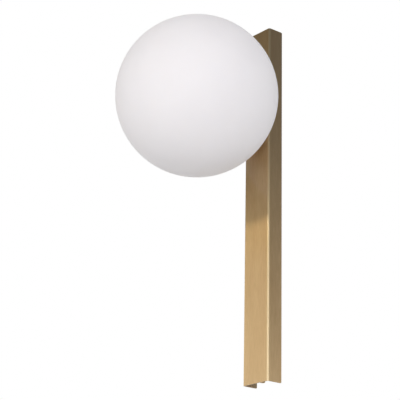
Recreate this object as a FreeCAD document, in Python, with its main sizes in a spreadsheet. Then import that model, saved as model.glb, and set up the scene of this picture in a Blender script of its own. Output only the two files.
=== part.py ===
"""Globe wall sconce: a folded brass channel hung on a steel wall bracket, with an opal glass globe.

Millimetres. X runs along the wall, Y into the wall and Z up. The wall is the plane Y = 0, and the origin is
the centre of the cable entry on that plane, halfway between the two wall-screw slots.
"""

import FreeCAD
import Part
import math
import os
import re

import Sketcher
from FreeCAD import Rotation, Vector

# The driving dimensions. Each one is a cell of the sheet, under its own alias.
SIZES = {
    # folded channel
    "channel_height": 460,
    "channel_width": 45,
    "channel_depth": 22,
    "channel_sheet": 1.2,
    "fold_radius": 2.6,
    "end_corner_radius": 1.5,
    # wall bracket
    "bracket_side_gap": 2.3,
    "bracket_sheet": 1.5,
    "bracket_bend_radius": 2.5,
    "flange_gap": 2.3,
    "slot_spacing": 300,
    "slot_width": 5,
    "slot_length": 9,
    # cable grommet
    "cable_hole_radius": 7,
    "grommet_wall": 2.5,
    "grommet_lip": 2,
    "grommet_lip_width": 2.5,
    # how the channel hangs and locks
    "tab_sheet": 1.5,
    "tab_width": 16,
    "tab_rise": 12,
    "tab_margin": 4.3,
    "top_recess": 12,
    "bottom_recess": 5.5,
    "lock_gap": 0.5,
    "lock_axis_shift": 0.5,
    "peg_radius": 2,
    "peg_clearance": 0.4,
    "peg_head_width": 1.6,
    "peg_head": 1,
    "peg_stand": 3,
    "lock_screw_radius": 1.95,
    "lock_screw_end": 3.5,
    "lock_head_radius": 3.75,
    "lock_head": 2.5,
    "lock_head_chamfer": 1,
    "lock_slot_width": 1,
    "lock_slot_depth": 1.2,
    "lock_washer": 0.5,
    "lock_washer_margin": 0.45,
    "lock_washer_clearance": 0.2,
    "thread_clearance": 0.08,
    "insert_wall": 0.97,
    "insert_lip_width": 1.4,
    "insert_lip": 0.8,
    "insert_length": 7,
    # glass globe
    "globe_radius": 100,
    "glass_wall": 3,
    "globe_height": 113,
    "neck_land": 0.1,
    "gasket_sheet": 1,
    "gasket_width": 2.9,
    "gasket_clearance": 0.3,
    # the globe's screw thread: a round ridge on the glass, and ribs in the collar that it winds past
    "thread_pitch": 3,
    "thread_turns": 1.75,
    "thread_start": 3.2,
    "ridge_radius": 0.85,
    "ridge_lift": 0.2,
    "neck_play": 0.35,
    "rib_inset": 0.6,
    "rib_angle": 30,
    "rib_count": 3,
    "rib_first": 20,
    # collar
    "collar_side_gap": 0.1,
    "collar_sheet": 1.5,
    "collar_tube_inset": 0.2,
    "collar_wall": 1.4,
    "collar_lip": 0.8,
    "collar_rim": 0.25,
    "collar_corner_radius": 4,
    "collar_margin": 2,
    # M3 studs, washers and nuts of the collar
    "stud_room": 1.8,
    "stud_end": 2.1,
    "small_thread_radius": 1.45,
    "small_hole_clearance": 0.25,
    "small_washer_radius": 3.5,
    "small_washer": 0.5,
    "small_nut_across": 5.5,
    "small_nut": 2.4,
    # holder bridge
    "bridge_sheet": 1,
    "bridge_width": 14,
    "bridge_gap": 1,
    "bridge_side_gap": 0.6,
    "bridge_margin": 1,
    # ceramic lamp holder
    "holder_width": 20,
    "holder_height": 12,
    "holder_length": 14,
    "holder_corner_radius": 2.5,
    "holder_front_radius": 0.8,
    "pin_pitch": 9,
    "cavity_depth": 10.5,
    "cavity_side_gap": 0.45,
    "cavity_end_gap": 1.25,
    "lead_hole_radius": 1.2,
    "contact_clearance": 0.2,
    "contact_strip": 0.4,
    "contact_height": 4,
    "contact_recess": 1.5,
    "holder_screw_offset": 3.6,
    "holder_screw_radius": 1.25,
    "holder_screw_head_radius": 2.3,
    "holder_screw_head": 1.6,
    "holder_screw_length": 8,
    # two-pin lamp
    "pin_radius": 0.75,
    "pin_end_gap": 2,
    "lamp_base_width": 14,
    "lamp_base_height": 9.6,
    "lamp_base_length": 9,
    "lamp_base_corner_radius": 2,
    "lamp_skirt": 4,
    "diffuser_radius": 8,
    "diffuser_wall": 1.2,
    "diffuser_length": 34,
    "board_side_gap": 1.2,
    "board_sheet": 1.2,
    "chip_length": 2.8,
    "chip_width": 3.5,
    "chip_height": 0.7,
    "chip_margin": 4,
    "chip_count": 6,
    # terminal block
    "block_height": 38,
    "block_wall": 2.4,
    "block_end": 2.5,
    "block_depth": 13,
    "block_corner_radius": 0.8,
    "pole_pitch": 9,
    "pole_depth": 5.5,
    "clamp_width": 5,
    "clamp_length": 13,
    "clamp_clearance": 0.1,
    "wire_hole_radius": 1.6,
    "terminal_screw_entry": 0.4,
    "terminal_screw_offset": 4,
    "terminal_screw_radius": 1.2,
    "terminal_head_radius": 1.9,
    "terminal_head": 1.5,
    "terminal_head_sink": 1.6,
    "well_clearance": 0.2,
    "block_screw_radius": 1.45,
    "block_screw_head_radius": 2.7,
    "block_screw_head": 1.8,
    "block_screw_sink": 0.6,
    # earth
    "earth_screw_drop": 38,
    "earth_stud_drop": 92,
    "earth_thread_radius": 1.95,
    "earth_head_radius": 3.8,
    "earth_head": 2.4,
    "earth_stud_end": 4,
    "earth_nut_across": 7,
    "earth_nut": 3.2,
    "earth_washer_radius": 4.5,
    "earth_washer_clearance": 0.2,
    "earth_washer": 0.8,
}

# Places and sizes that follow from them, as formulas.
FRONT = "(-channel_depth)"
FRONT_INSIDE = f"({FRONT} + channel_sheet)"
PLATE_FRONT = "(-bracket_sheet)"
# the locking screw and the hanger peg share one upright axis
LOCK_AXIS = f"({FRONT} / 2 + lock_axis_shift)"
TOP_FLANGE = "(channel_height / 2 - top_recess)"
TAB_UNDERSIDE = "(-channel_height / 2 + bottom_recess)"
BOTTOM_FLANGE = f"({TAB_UNDERSIDE} + tab_sheet + lock_gap)"
LOCK_WASHER_UNDERSIDE = f"({TAB_UNDERSIDE} - lock_washer)"
INSERT_BORE = "(lock_screw_radius + thread_clearance)"
INSERT_RADIUS = f"({INSERT_BORE} + insert_wall)"
# the collar is as wide as the channel's flat takes, and the neck is as wide as the collar takes
COLLAR_HALF_WIDTH = "(channel_width / 2 - fold_radius - collar_side_gap)"
COLLAR_OUTSIDE = f"({COLLAR_HALF_WIDTH} - collar_tube_inset)"
COLLAR_BORE = f"({COLLAR_OUTSIDE} - collar_wall)"
COLLAR_OPENING = f"({COLLAR_BORE} - collar_lip)"
COLLAR_BACK = f"({FRONT_INSIDE} + collar_sheet)"
THREAD_START = f"({FRONT} + thread_start)"
COLLAR_END = f"({THREAD_START} + thread_pitch * 3 / 2 + ridge_radius + collar_rim)"
RIDGE_CENTRE = f"({COLLAR_OPENING} - neck_play - ridge_radius)"
NECK_RADIUS = f"({RIDGE_CENTRE} - ridge_lift)"
NECK_END = f"({THREAD_START} + thread_pitch * thread_turns + ridge_radius + neck_land)"
GASKET_BORE = f"({NECK_RADIUS} + gasket_clearance)"
GASKET_OUTSIDE = f"({GASKET_BORE} + gasket_width)"
GASKET_FRONT = f"({FRONT_INSIDE} - gasket_sheet)"
# the sphere comes to rest just over the gasket's inner rim
GLOBE_CENTRE = f"({GASKET_FRONT} - gasket_clearance - sqrt(globe_radius ^ 2 - {GASKET_BORE} ^ 2))"
BRIDGE_LEG = f"({COLLAR_OUTSIDE} + bridge_side_gap)"
STUD_OFFSET = f"({BRIDGE_LEG} + bridge_sheet + stud_room + small_washer_radius)"
BRIDGE_FRONT = f"({NECK_END} + bridge_gap)"
BRIDGE_BACK = f"({BRIDGE_FRONT} + bridge_sheet)"
HOLDER_FRONT = f"({BRIDGE_FRONT} - holder_length)"
CAVITY_BACK = f"({HOLDER_FRONT} + cavity_depth)"
SKIRT_FRONT = f"({HOLDER_FRONT} - lamp_base_length - lamp_skirt)"
POLE_AXIS = f"({PLATE_FRONT} - pole_depth)"
BLOCK_FRONT = f"({PLATE_FRONT} - block_depth)"
EARTH_WASHER_FRONT = f"({PLATE_FRONT} - earth_washer)"

# Where like pieces repeat, the end of their names and the sign of their place.
ENDS = (("_lower", "-"), ("_upper", "+"))
SIDES = (("_left", "-"), ("_right", "+"))

# How a solid that is made along Z is turned to run along an axis.
TURNS = {"Y": Rotation(Vector(1, 0, 0), -90), "Z": Rotation()}

doc = FreeCAD.newDocument("globe_sconce")
sheet = doc.addObject("Spreadsheet::Sheet", "Sizes")
for row, (alias, value) in enumerate(SIZES.items(), start=1):
    sheet.set("A%d" % row, str(value))
    sheet.setAlias("A%d" % row, alias)
doc.recompute()

pieces = {}


def size(alias):
    """A size as the sheet holds it."""
    return float(sheet.get(alias))


def formula(text):
    """Text with each size's name written as its cell of the sheet."""
    return re.sub(r"[a-z_]+", lambda word: "Sizes." + word[0] if word[0] in SIZES else word[0], text)


def bind(item, **formulas):
    """Ties properties of an object to formulas over the sizes."""
    for name, text in formulas.items():
        item.setExpression(name.replace("__", "."), formula(text))
    return item


def place(item, x="0", y="0", z="0"):
    return bind(item, Placement__Base__x=x, Placement__Base__y=y, Placement__Base__z=z)


def piece(label, item):
    """Marks an object as a finished sub-part, whose label names its file."""
    item.Label = label
    pieces[label] = item


# Solids that are tied to the sheet.


def block(name, x, y, z):
    """A box between two limits on each axis."""
    item = doc.addObject("Part::Box", name)
    bind(item, Length=f"{x[1]} - ({x[0]})", Width=f"{y[1]} - ({y[0]})", Height=f"{z[1]} - ({z[0]})")
    return place(item, x[0], y[0], z[0])


def rod(name, radius, axis, length, x="0", y="0", z="0"):
    """A cylinder that starts at a point and runs along an axis."""
    item = doc.addObject("Part::Cylinder", name)
    item.Placement.Rotation = TURNS[axis]
    bind(item, Radius=radius, Height=length)
    return place(item, x, y, z)


def ball(name, radius, y, z):
    item = doc.addObject("Part::Sphere", name)
    bind(item, Radius=radius)
    return place(item, y=y, z=z)


def fuse(name, *items):
    item = doc.addObject("Part::MultiFuse", name)
    item.Shapes = list(items)
    item.Refine = True
    return item


def cut(name, base, *tools):
    item = doc.addObject("Part::Cut", name)
    item.Base = base
    item.Tool = tools[0] if len(tools) == 1 else fuse(name + "_tools", *tools)
    item.Refine = True
    return item


def ring(name, outer, inner, axis, length, x="0", y="0", z="0"):
    outside = rod(name + "_outside", outer, axis, length, x, y, z)
    return cut(name, outside, rod(name + "_bore", inner, axis, length, x, y, z))


def hex_nut(name, across, bore, length, y, z):
    """A six-sided nut along Y with a plain bore."""
    item = doc.addObject("Part::Prism", name + "_body")
    item.Polygon = 6
    item.Placement.Rotation = TURNS["Y"]
    bind(item, Circumradius=f"{across} / sqrt(3)", Height=length)
    place(item, y=y, z=z)
    return cut(name, item, rod(name + "_bore", bore, "Y", length, y=y, z=z))


def screw(name, radius, length, head_radius, head, y, head_y, z, x="0"):
    """A plain screw along Y: a shank and a round head, each from its own start."""
    shank = rod(name + "_shank", radius, "Y", length, x, y, z)
    return fuse(name, shank, rod(name + "_head", head_radius, "Y", head, x, head_y, z))


def meets(value, target):
    return abs(value - target) < 1e-6


def runs_along(edge, axis):
    """True for a straight edge parallel to an axis, which is 0, 1 or 2."""
    return isinstance(edge.Curve, Part.Line) and meets(abs(edge.Curve.Direction[axis]), 1)


def round_edges(name, base, radius, chosen):
    """Fillets the edges of a solid that a test picks out by their place."""
    doc.recompute()
    item = doc.addObject("Part::Fillet", name)
    item.Base = base
    item.Edges = [(i, size(radius), size(radius)) for i, e in enumerate(base.Shape.Edges, 1) if chosen(e)]
    return item


# Bodies made from sketches.


def new_body(name):
    return doc.addObject("PartDesign::Body", name)


def new_sketch(body, name, plane):
    item = body.newObject("Sketcher::SketchObject", name)
    support = [part for part in body.Origin.OriginFeatures if part.Role == plane][0]
    item.AttachmentSupport = [(support, "")]
    item.MapMode = "FlatFace"
    return item


def dimension(sketch, kind, line, end, text):
    """Sets one coordinate of a line's end, or of a circle's centre, from the sketch's origin."""
    index = sketch.addConstraint(Sketcher.Constraint(kind, -1, 1, line, end, 1.0))
    sketch.setExpression("Constraints[%d]" % index, formula(text))


def outline(sketch, corners):
    """A closed outline of straight lines, each corner set by two formulas."""
    count = len(corners)
    turns = [math.tau * i / count for i in range(count)]
    start = [Vector(math.cos(turn), math.sin(turn), 0) for turn in turns]
    for i in range(count):
        sketch.addGeometry(Part.LineSegment(start[i], start[(i + 1) % count]), False)
    for i in range(count):
        sketch.addConstraint(Sketcher.Constraint("Coincident", i, 2, (i + 1) % count, 1))
    for i, (across, along) in enumerate(corners):
        dimension(sketch, "DistanceX", i, 1, across)
        dimension(sketch, "DistanceY", i, 1, along)


def circle(sketch, radius, across, along):
    index = sketch.addGeometry(Part.Circle(Vector(0, 0, 0), Vector(0, 0, 1), 1), False)
    limit = sketch.addConstraint(Sketcher.Constraint("Radius", index, 1.0))
    sketch.setExpression("Constraints[%d]" % limit, formula(radius))
    dimension(sketch, "DistanceX", index, 3, across)
    dimension(sketch, "DistanceY", index, 3, along)


def pad(body, sketch, length):
    item = body.newObject("PartDesign::Pad", body.Name + "_pad")
    item.Profile = sketch
    return bind(item, Length=length)


def pocket_through(body, sketch):
    """Cuts a sketch's shape through everything on both sides of its plane."""
    item = body.newObject("PartDesign::Pocket", sketch.Name + "_pocket")
    item.Profile = sketch
    item.Type = "ThroughAll"
    item.SideType = "Symmetric"
    return item


def round_body_edges(body, name, radius, chosen):
    """Fillets the edges of a body that a test picks out by their place."""
    doc.recompute()
    tip = body.Tip
    item = body.newObject("PartDesign::Fillet", name)
    item.Base = (tip, ["Edge%d" % i for i, e in enumerate(tip.Shape.Edges, 1) if chosen(e)])
    return bind(item, Radius=radius)


def turned(name, axis, profile, y="0"):
    """A body turned about Y or Z. Each corner of the profile is a radius and a place along the axis."""
    body = new_body(name)
    sketch = new_sketch(body, name + "_profile", "XY_Plane" if axis == "Y" else "XZ_Plane")
    outline(sketch, profile)
    item = body.newObject("PartDesign::Revolution", name + "_turn")
    item.Profile = sketch
    item.ReferenceAxis = (sketch, ["V_Axis"])
    item.Angle = 360
    return place(body, y=y)


# The channel and how it hangs.


def channel_housing():
    """The brass sheet folded into a U that is open to the wall and at both ends."""
    body = new_body("channel_housing")
    place(body, z="-channel_height / 2")
    profile = new_sketch(body, "channel_profile", "XY_Plane")
    side, inner_side = "(channel_width / 2)", "(channel_width / 2 - channel_sheet)"
    outline(profile, [
        (f"-{side}", "0"),
        (f"-{side}", FRONT),
        (side, FRONT),
        (side, "0"),
        (inner_side, "0"),
        (inner_side, FRONT_INSIDE),
        (f"-{inner_side}", FRONT_INSIDE),
        (f"-{inner_side}", "0"),
    ])
    pad(body, profile, "channel_height")
    front = -size("channel_depth")
    inside = front + size("channel_sheet")
    round_body_edges(
        body, "outer_folds", "fold_radius",
        lambda e: runs_along(e, 2) and meets(e.CenterOfMass.y, front))
    round_body_edges(
        body, "inner_folds", "fold_radius - channel_sheet",
        lambda e: runs_along(e, 2) and meets(e.CenterOfMass.y, inside))
    round_body_edges(
        body, "end_corners", "end_corner_radius",
        lambda e: runs_along(e, 0) and meets(e.CenterOfMass.y, 0))
    hole = new_sketch(body, "seat_hole", "XZ_Plane")
    circle(hole, f"{GASKET_OUTSIDE} + gasket_clearance", "0", "globe_height + channel_height / 2")
    pocket_through(body, hole)
    piece("channel_housing", body)


def welded_tab(label, underside, hole_radius):
    """An angle welded behind the front wall. The peg or the locking screw passes its level leg."""
    across = ("-tab_width / 2", "tab_width / 2")
    level = block(
        label + "_level", across, (FRONT_INSIDE, f"{LOCK_AXIS} + tab_margin"),
        (underside, f"{underside} + tab_sheet"))
    upright = block(
        label + "_upright", across, (FRONT_INSIDE, f"{FRONT_INSIDE} + tab_sheet"),
        (underside, f"{underside} + tab_rise"))
    hole = rod(label + "_hole", hole_radius, "Z", "tab_sheet", y=LOCK_AXIS, z=underside)
    piece(label, cut(label, fuse(label + "_angle", level, upright), hole))


def slot_tool(name, height):
    """An upright slot for a wall screw, as the tool that cuts it."""
    radius, offset = "slot_width / 2", "(slot_length / 2 - slot_width / 2)"
    middle = block(
        name + "_middle", (f"-{radius}", radius), (PLATE_FRONT, "0"),
        (f"{height} - {offset}", f"{height} + {offset}"))
    ends = [
        rod(name + end, radius, "Y", "bracket_sheet", y=PLATE_FRONT, z=f"{height} {sign} {offset}")
        for end, sign in ENDS
    ]
    return fuse(name, middle, *ends)


def wall_bracket():
    """The steel strip that is screwed to the wall, with a flange turned out at each end."""
    half_width = "(channel_width / 2 - channel_sheet - bracket_side_gap)"
    reach = f"({FRONT_INSIDE} + tab_sheet + flange_gap)"
    body = new_body("bracket_strip")
    place(body, x=f"-{half_width}")
    profile = new_sketch(body, "bracket_profile", "YZ_Plane")
    outline(profile, [
        ("0", BOTTOM_FLANGE),
        ("0", TOP_FLANGE),
        (reach, TOP_FLANGE),
        (reach, f"{TOP_FLANGE} - bracket_sheet"),
        (PLATE_FRONT, f"{TOP_FLANGE} - bracket_sheet"),
        (PLATE_FRONT, f"{BOTTOM_FLANGE} + bracket_sheet"),
        (reach, f"{BOTTOM_FLANGE} + bracket_sheet"),
        (reach, BOTTOM_FLANGE),
    ])
    pad(body, profile, f"2 * {half_width}")
    front = -size("bracket_sheet")
    round_body_edges(
        body, "bracket_outer_bends", "bracket_bend_radius",
        lambda e: runs_along(e, 0) and meets(e.CenterOfMass.y, 0))
    round_body_edges(
        body, "bracket_inner_bends", "bracket_bend_radius - bracket_sheet",
        lambda e: runs_along(e, 0) and meets(e.CenterOfMass.y, front))
    plate = {"axis": "Y", "length": "bracket_sheet", "y": PLATE_FRONT}
    flange = {"axis": "Z", "length": "bracket_sheet", "y": LOCK_AXIS}
    holes = [
        slot_tool("lower_wall_slot", "-slot_spacing / 2"),
        slot_tool("upper_wall_slot", "slot_spacing / 2"),
        rod("cable_hole", "cable_hole_radius", **plate),
        rod("block_screw_hole", "block_screw_radius", z="block_height", **plate),
        rod("earth_screw_hole", "earth_thread_radius", z="-earth_screw_drop", **plate),
        rod("peg_hole", "peg_radius", z=f"{TOP_FLANGE} - bracket_sheet", **flange),
        rod("insert_hole", INSERT_RADIUS, z=BOTTOM_FLANGE, **flange),
    ]
    piece("wall_bracket", cut("wall_bracket", body, *holes))


def hanger_peg():
    """The rivet in the bracket's top flange that the channel's top tab drops over."""
    flange_under = f"{TOP_FLANGE} - bracket_sheet"
    tip = f"{TOP_FLANGE} + tab_sheet + peg_stand"
    piece("hanger_peg", turned("hanger_peg", "Z", [
        ("0", f"{flange_under} - peg_head"),
        ("peg_radius + peg_head_width", f"{flange_under} - peg_head"),
        ("peg_radius + peg_head_width", flange_under),
        ("peg_radius", flange_under),
        ("peg_radius", f"{tip} - peg_radius / 2"),
        ("peg_radius / 2", tip),
        ("0", tip),
    ], y=LOCK_AXIS))


def threaded_insert():
    """The nut pressed into the bracket's bottom flange."""
    upper = f"{BOTTOM_FLANGE} + bracket_sheet"
    end = f"{BOTTOM_FLANGE} + insert_length"
    piece("threaded_insert", turned("threaded_insert", "Z", [
        (INSERT_BORE, BOTTOM_FLANGE),
        (INSERT_RADIUS, BOTTOM_FLANGE),
        (INSERT_RADIUS, upper),
        (f"{INSERT_RADIUS} + insert_lip_width", upper),
        (f"{INSERT_RADIUS} + insert_lip_width", f"{upper} + insert_lip"),
        (INSERT_RADIUS, f"{upper} + insert_lip"),
        (INSERT_RADIUS, end),
        (INSERT_BORE, end),
    ], y=LOCK_AXIS))


def locking_screw():
    """A slotted screw whose head shows in the open lower end of the channel."""
    head_under = f"{LOCK_WASHER_UNDERSIDE} - lock_head"
    end = f"{BOTTOM_FLANGE} + insert_length + lock_screw_end"
    blank = turned("locking_screw_blank", "Z", [
        ("0", head_under),
        ("lock_head_radius - lock_head_chamfer", head_under),
        ("lock_head_radius", f"{head_under} + lock_head_chamfer"),
        ("lock_head_radius", LOCK_WASHER_UNDERSIDE),
        ("lock_screw_radius", LOCK_WASHER_UNDERSIDE),
        ("lock_screw_radius", f"{end} - lock_screw_radius / 2"),
        ("lock_screw_radius / 2", end),
        ("0", end),
    ], y=LOCK_AXIS)
    slot = block(
        "locking_screw_slot", ("-lock_head_radius", "lock_head_radius"),
        (f"{LOCK_AXIS} - lock_slot_width / 2", f"{LOCK_AXIS} + lock_slot_width / 2"),
        (head_under, f"{head_under} + lock_slot_depth"))
    piece("locking_screw", cut("locking_screw", blank, slot))


def locking_washer():
    piece("locking_washer", ring(
        "locking_washer", "lock_head_radius + lock_washer_margin",
        "lock_screw_radius + lock_washer_clearance", "Z", "lock_washer",
        y=LOCK_AXIS, z=LOCK_WASHER_UNDERSIDE))


def cable_grommet():
    """The rubber bush that lines the cable entry."""
    bore, lip = "cable_hole_radius - grommet_wall", "cable_hole_radius + grommet_lip_width"
    front = f"{PLATE_FRONT} - grommet_lip"
    piece("cable_grommet", turned("cable_grommet", "Y", [
        (bore, "0"),
        ("cable_hole_radius", "0"),
        ("cable_hole_radius", PLATE_FRONT),
        (lip, PLATE_FRONT),
        (lip, f"{PLATE_FRONT} - grommet_lip / 2"),
        (f"{lip} - grommet_lip / 2", front),
        (bore, front),
    ]))


# The globe and the collar that it screws into.


def screw_ridge(name):
    """The round ridge that climbs round the neck as a right-hand thread."""
    helix = doc.addObject("Part::Helix", name + "_line")
    helix.Placement.Rotation = TURNS["Y"]
    bind(helix, Pitch="thread_pitch", Height="thread_pitch * thread_turns", Radius=RIDGE_CENTRE)
    place(helix, y=THREAD_START, z="globe_height")
    section = doc.addObject("Part::Circle", name + "_section")
    bind(section, Radius="ridge_radius")
    place(section, x=RIDGE_CENTRE, y=THREAD_START, z="globe_height")
    sweep = doc.addObject("Part::Sweep", name)
    sweep.Sections = [section]
    sweep.Spine = (helix, [])
    sweep.Solid = True
    sweep.Frenet = True
    return sweep


def collar_ribs():
    """Round ribs pressed into the collar, each half a pitch from the glass ridge at its own angle."""
    count = int(size("rib_count"))
    ribs = []
    for i in range(count):
        angle = size("rib_first") + 360 * i / count
        rib = doc.addObject("Part::Torus", "collar_rib_%d" % (i + 1))
        rib.Placement.Rotation = TURNS["Y"] * Rotation(Vector(0, 0, 1), angle - size("rib_angle") / 2)
        bind(rib, Radius1=f"{COLLAR_BORE} - rib_inset", Radius2="ridge_radius", Angle3="rib_angle")
        turns = angle / 360 + 0.5
        ribs.append(place(rib, y=f"{THREAD_START} + thread_pitch * {turns}", z="globe_height"))
    return ribs


def glass_globe():
    """The blown opal sphere with its open, threaded neck."""
    at = {"y": GLOBE_CENTRE, "z": "globe_height"}
    reach = f"{NECK_END} - {GLOBE_CENTRE}"
    sphere = ball("globe_outside", "globe_radius", **at)
    hollow = ball("globe_inside", "globe_radius - glass_wall", **at)
    neck = rod("neck_outside", NECK_RADIUS, "Y", reach, **at)
    bore = rod("neck_bore", f"{NECK_RADIUS} - glass_wall", "Y", reach, **at)
    shell = cut("globe_shell", fuse("globe_blank", sphere, neck), hollow, bore)
    piece("glass_globe", fuse("glass_globe", shell, screw_ridge("glass_thread")))


def globe_gasket():
    piece("globe_gasket", ring(
        "globe_gasket", GASKET_OUTSIDE, GASKET_BORE, "Y", "gasket_sheet", y=GASKET_FRONT, z="globe_height"))


def stud_holes(name, start, length):
    """The tools that cut a hole for each of the collar's studs."""
    radius = "small_thread_radius + small_hole_clearance"
    return [
        rod(name + "_stud_hole" + end, radius, "Y", length, y=start, z=f"globe_height {sign} {STUD_OFFSET}")
        for end, sign in ENDS
    ]


def threaded_collar():
    """The drawn steel cup behind the front wall that takes the globe's neck."""
    half_height = f"({STUD_OFFSET} + small_washer_radius + collar_margin)"
    length = f"{COLLAR_END} - {FRONT_INSIDE}"
    at = {"y": FRONT_INSIDE, "z": "globe_height"}
    plate = block(
        "collar_plate", (f"-{COLLAR_HALF_WIDTH}", COLLAR_HALF_WIDTH), (FRONT_INSIDE, COLLAR_BACK),
        (f"globe_height - {half_height}", f"globe_height + {half_height}"))
    plate = round_edges("collar_plate_round", plate, "collar_corner_radius", lambda e: runs_along(e, 1))
    tube = rod("collar_tube", COLLAR_OUTSIDE, "Y", length, **at)
    bore = rod(
        "collar_bore", COLLAR_BORE, "Y", f"{COLLAR_END} - {COLLAR_BACK}", y=COLLAR_BACK, z="globe_height")
    opening = rod("collar_opening", COLLAR_OPENING, "Y", length, **at)
    holes = stud_holes("collar", FRONT_INSIDE, "collar_sheet")
    cup = cut("collar_cup", fuse("collar_blank", plate, tube), bore, opening, *holes)
    piece("threaded_collar", fuse("threaded_collar", cup, *collar_ribs()))


def collar_fixings():
    """Weld studs on the front wall, with the washers and nuts that clamp the collar and the bridge."""
    washer_front = f"{COLLAR_BACK} + bridge_sheet"
    nut_front = f"{washer_front} + small_washer"
    length = f"{nut_front} + small_nut + stud_end - {FRONT_INSIDE}"
    bore, hole = "small_thread_radius", "small_thread_radius + small_hole_clearance"
    for end, sign in ENDS:
        z = f"globe_height {sign} {STUD_OFFSET}"
        piece("collar_stud" + end, rod("collar_stud" + end, bore, "Y", length, y=FRONT_INSIDE, z=z))
        piece("collar_washer" + end, ring(
            "collar_washer" + end, "small_washer_radius", hole, "Y", "small_washer", y=washer_front, z=z))
        piece("collar_nut" + end, hex_nut(
            "collar_nut" + end, "small_nut_across", bore, "small_nut", y=nut_front, z=z))


def holder_bridge():
    """The hat-shaped strip that carries the lamp holder behind the collar."""
    body = new_body("bridge_strip")
    place(body, x="-bridge_width / 2", z="globe_height")
    profile = new_sketch(body, "bridge_profile", "YZ_Plane")
    foot_back = f"{COLLAR_BACK} + bridge_sheet"
    outside = f"({BRIDGE_LEG} + bridge_sheet)"
    foot_end = f"({STUD_OFFSET} + small_washer_radius + bridge_margin)"
    outline(profile, [
        (COLLAR_BACK, foot_end),
        (COLLAR_BACK, BRIDGE_LEG),
        (BRIDGE_FRONT, BRIDGE_LEG),
        (BRIDGE_FRONT, f"-{BRIDGE_LEG}"),
        (COLLAR_BACK, f"-{BRIDGE_LEG}"),
        (COLLAR_BACK, f"-{foot_end}"),
        (foot_back, f"-{foot_end}"),
        (foot_back, f"-{outside}"),
        (BRIDGE_BACK, f"-{outside}"),
        (BRIDGE_BACK, outside),
        (foot_back, outside),
        (foot_back, foot_end),
    ])
    pad(body, profile, "bridge_width")
    web = {"axis": "Y", "length": "bridge_sheet", "y": BRIDGE_FRONT}
    holes = stud_holes("bridge", COLLAR_BACK, "bridge_sheet")
    for end, sign in ENDS:
        z = f"globe_height {sign} holder_screw_offset"
        holes.append(rod(
            "bridge_screw_hole" + end, "holder_screw_radius + small_hole_clearance", z=z, **web))
    for side, sign in SIDES:
        x = f"0 {sign} pin_pitch / 2"
        holes.append(rod("bridge_lead_hole" + side, "lead_hole_radius", x=x, z="globe_height", **web))
    piece("holder_bridge", cut("holder_bridge", body, *holes))


# The lamp holder and the lamp.


def about_globe_axis(height):
    """The limits along Z of something of a given height on the globe's axis."""
    return (f"globe_height - ({height}) / 2", f"globe_height + ({height}) / 2")


def lampholder_body():
    """The ceramic block, with a cavity for each contact and a hole behind it for each lead."""
    box = block(
        "holder_blank", ("-holder_width / 2", "holder_width / 2"), (HOLDER_FRONT, BRIDGE_FRONT),
        about_globe_axis("holder_height"))
    blank = round_edges("holder_round", box, "holder_corner_radius", lambda e: runs_along(e, 1))
    front = box.Placement.Base.y
    blank = round_edges(
        "holder_front_round", blank, "holder_front_radius", lambda e: meets(e.BoundBox.YMax, front))
    reach = "(pin_radius + contact_clearance + contact_strip + cavity_side_gap)"
    height = about_globe_axis("contact_height + 2 * cavity_end_gap")
    tools = []
    for side, sign in SIDES:
        middle = f"0 {sign} pin_pitch / 2"
        tools.append(block(
            "holder_cavity" + side, (f"{middle} - {reach}", f"{middle} + {reach}"),
            (HOLDER_FRONT, CAVITY_BACK), height))
        tools.append(rod(
            "holder_lead_hole" + side, "lead_hole_radius", "Y", "holder_length - cavity_depth",
            x=middle, y=CAVITY_BACK, z="globe_height"))
    for end, sign in ENDS:
        tools.append(rod(
            "holder_screw_hole" + end, "holder_screw_radius", "Y", "holder_screw_length - bridge_sheet",
            y=f"{BRIDGE_BACK} - holder_screw_length", z=f"globe_height {sign} holder_screw_offset"))
    piece("lampholder_body", cut("lampholder_body", blank, *tools))


def lampholder_contacts():
    """Two spring clips: two leaves each, joined behind, that grip a pin of the lamp."""
    along = (f"{HOLDER_FRONT} + contact_recess", CAVITY_BACK)
    height = about_globe_axis("contact_height")
    inner = "(pin_radius + contact_clearance)"
    outer = f"({inner} + contact_strip)"
    for side, sign in SIDES:
        name, middle = "lampholder_contact" + side, f"0 {sign} pin_pitch / 2"
        first = block(name + "_first", (f"{middle} - {outer}", f"{middle} - {inner}"), along, height)
        second = block(name + "_second", (f"{middle} + {inner}", f"{middle} + {outer}"), along, height)
        across = (f"{middle} - {outer}", f"{middle} + {outer}")
        base = block(name + "_base", across, (f"{CAVITY_BACK} - contact_strip", CAVITY_BACK), height)
        piece(name, fuse(name, base, first, second))


def lampholder_screws():
    for end, sign in ENDS:
        name = "lampholder_screw" + end
        piece(name, screw(
            name, "holder_screw_radius", "holder_screw_length", "holder_screw_head_radius",
            "holder_screw_head", y=f"{BRIDGE_BACK} - holder_screw_length", head_y=BRIDGE_BACK,
            z=f"globe_height {sign} holder_screw_offset"))


def lamp_base():
    """The lamp's base: a block that meets the holder, and a round skirt that the diffuser stands on."""
    stem = block(
        "lamp_stem", ("-lamp_base_width / 2", "lamp_base_width / 2"),
        (f"{HOLDER_FRONT} - lamp_base_length", HOLDER_FRONT), about_globe_axis("lamp_base_height"))
    stem = round_edges("lamp_stem_round", stem, "lamp_base_corner_radius", lambda e: runs_along(e, 1))
    skirt = rod("lamp_skirt", "diffuser_radius", "Y", "lamp_skirt", y=SKIRT_FRONT, z="globe_height")
    piece("lamp_base", fuse("lamp_base", stem, skirt))


def lamp_pins():
    for side, sign in SIDES:
        piece("lamp_pin" + side, rod(
            "lamp_pin" + side, "pin_radius", "Y", "cavity_depth - pin_end_gap",
            x=f"0 {sign} pin_pitch / 2", y=HOLDER_FRONT, z="globe_height"))


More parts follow.
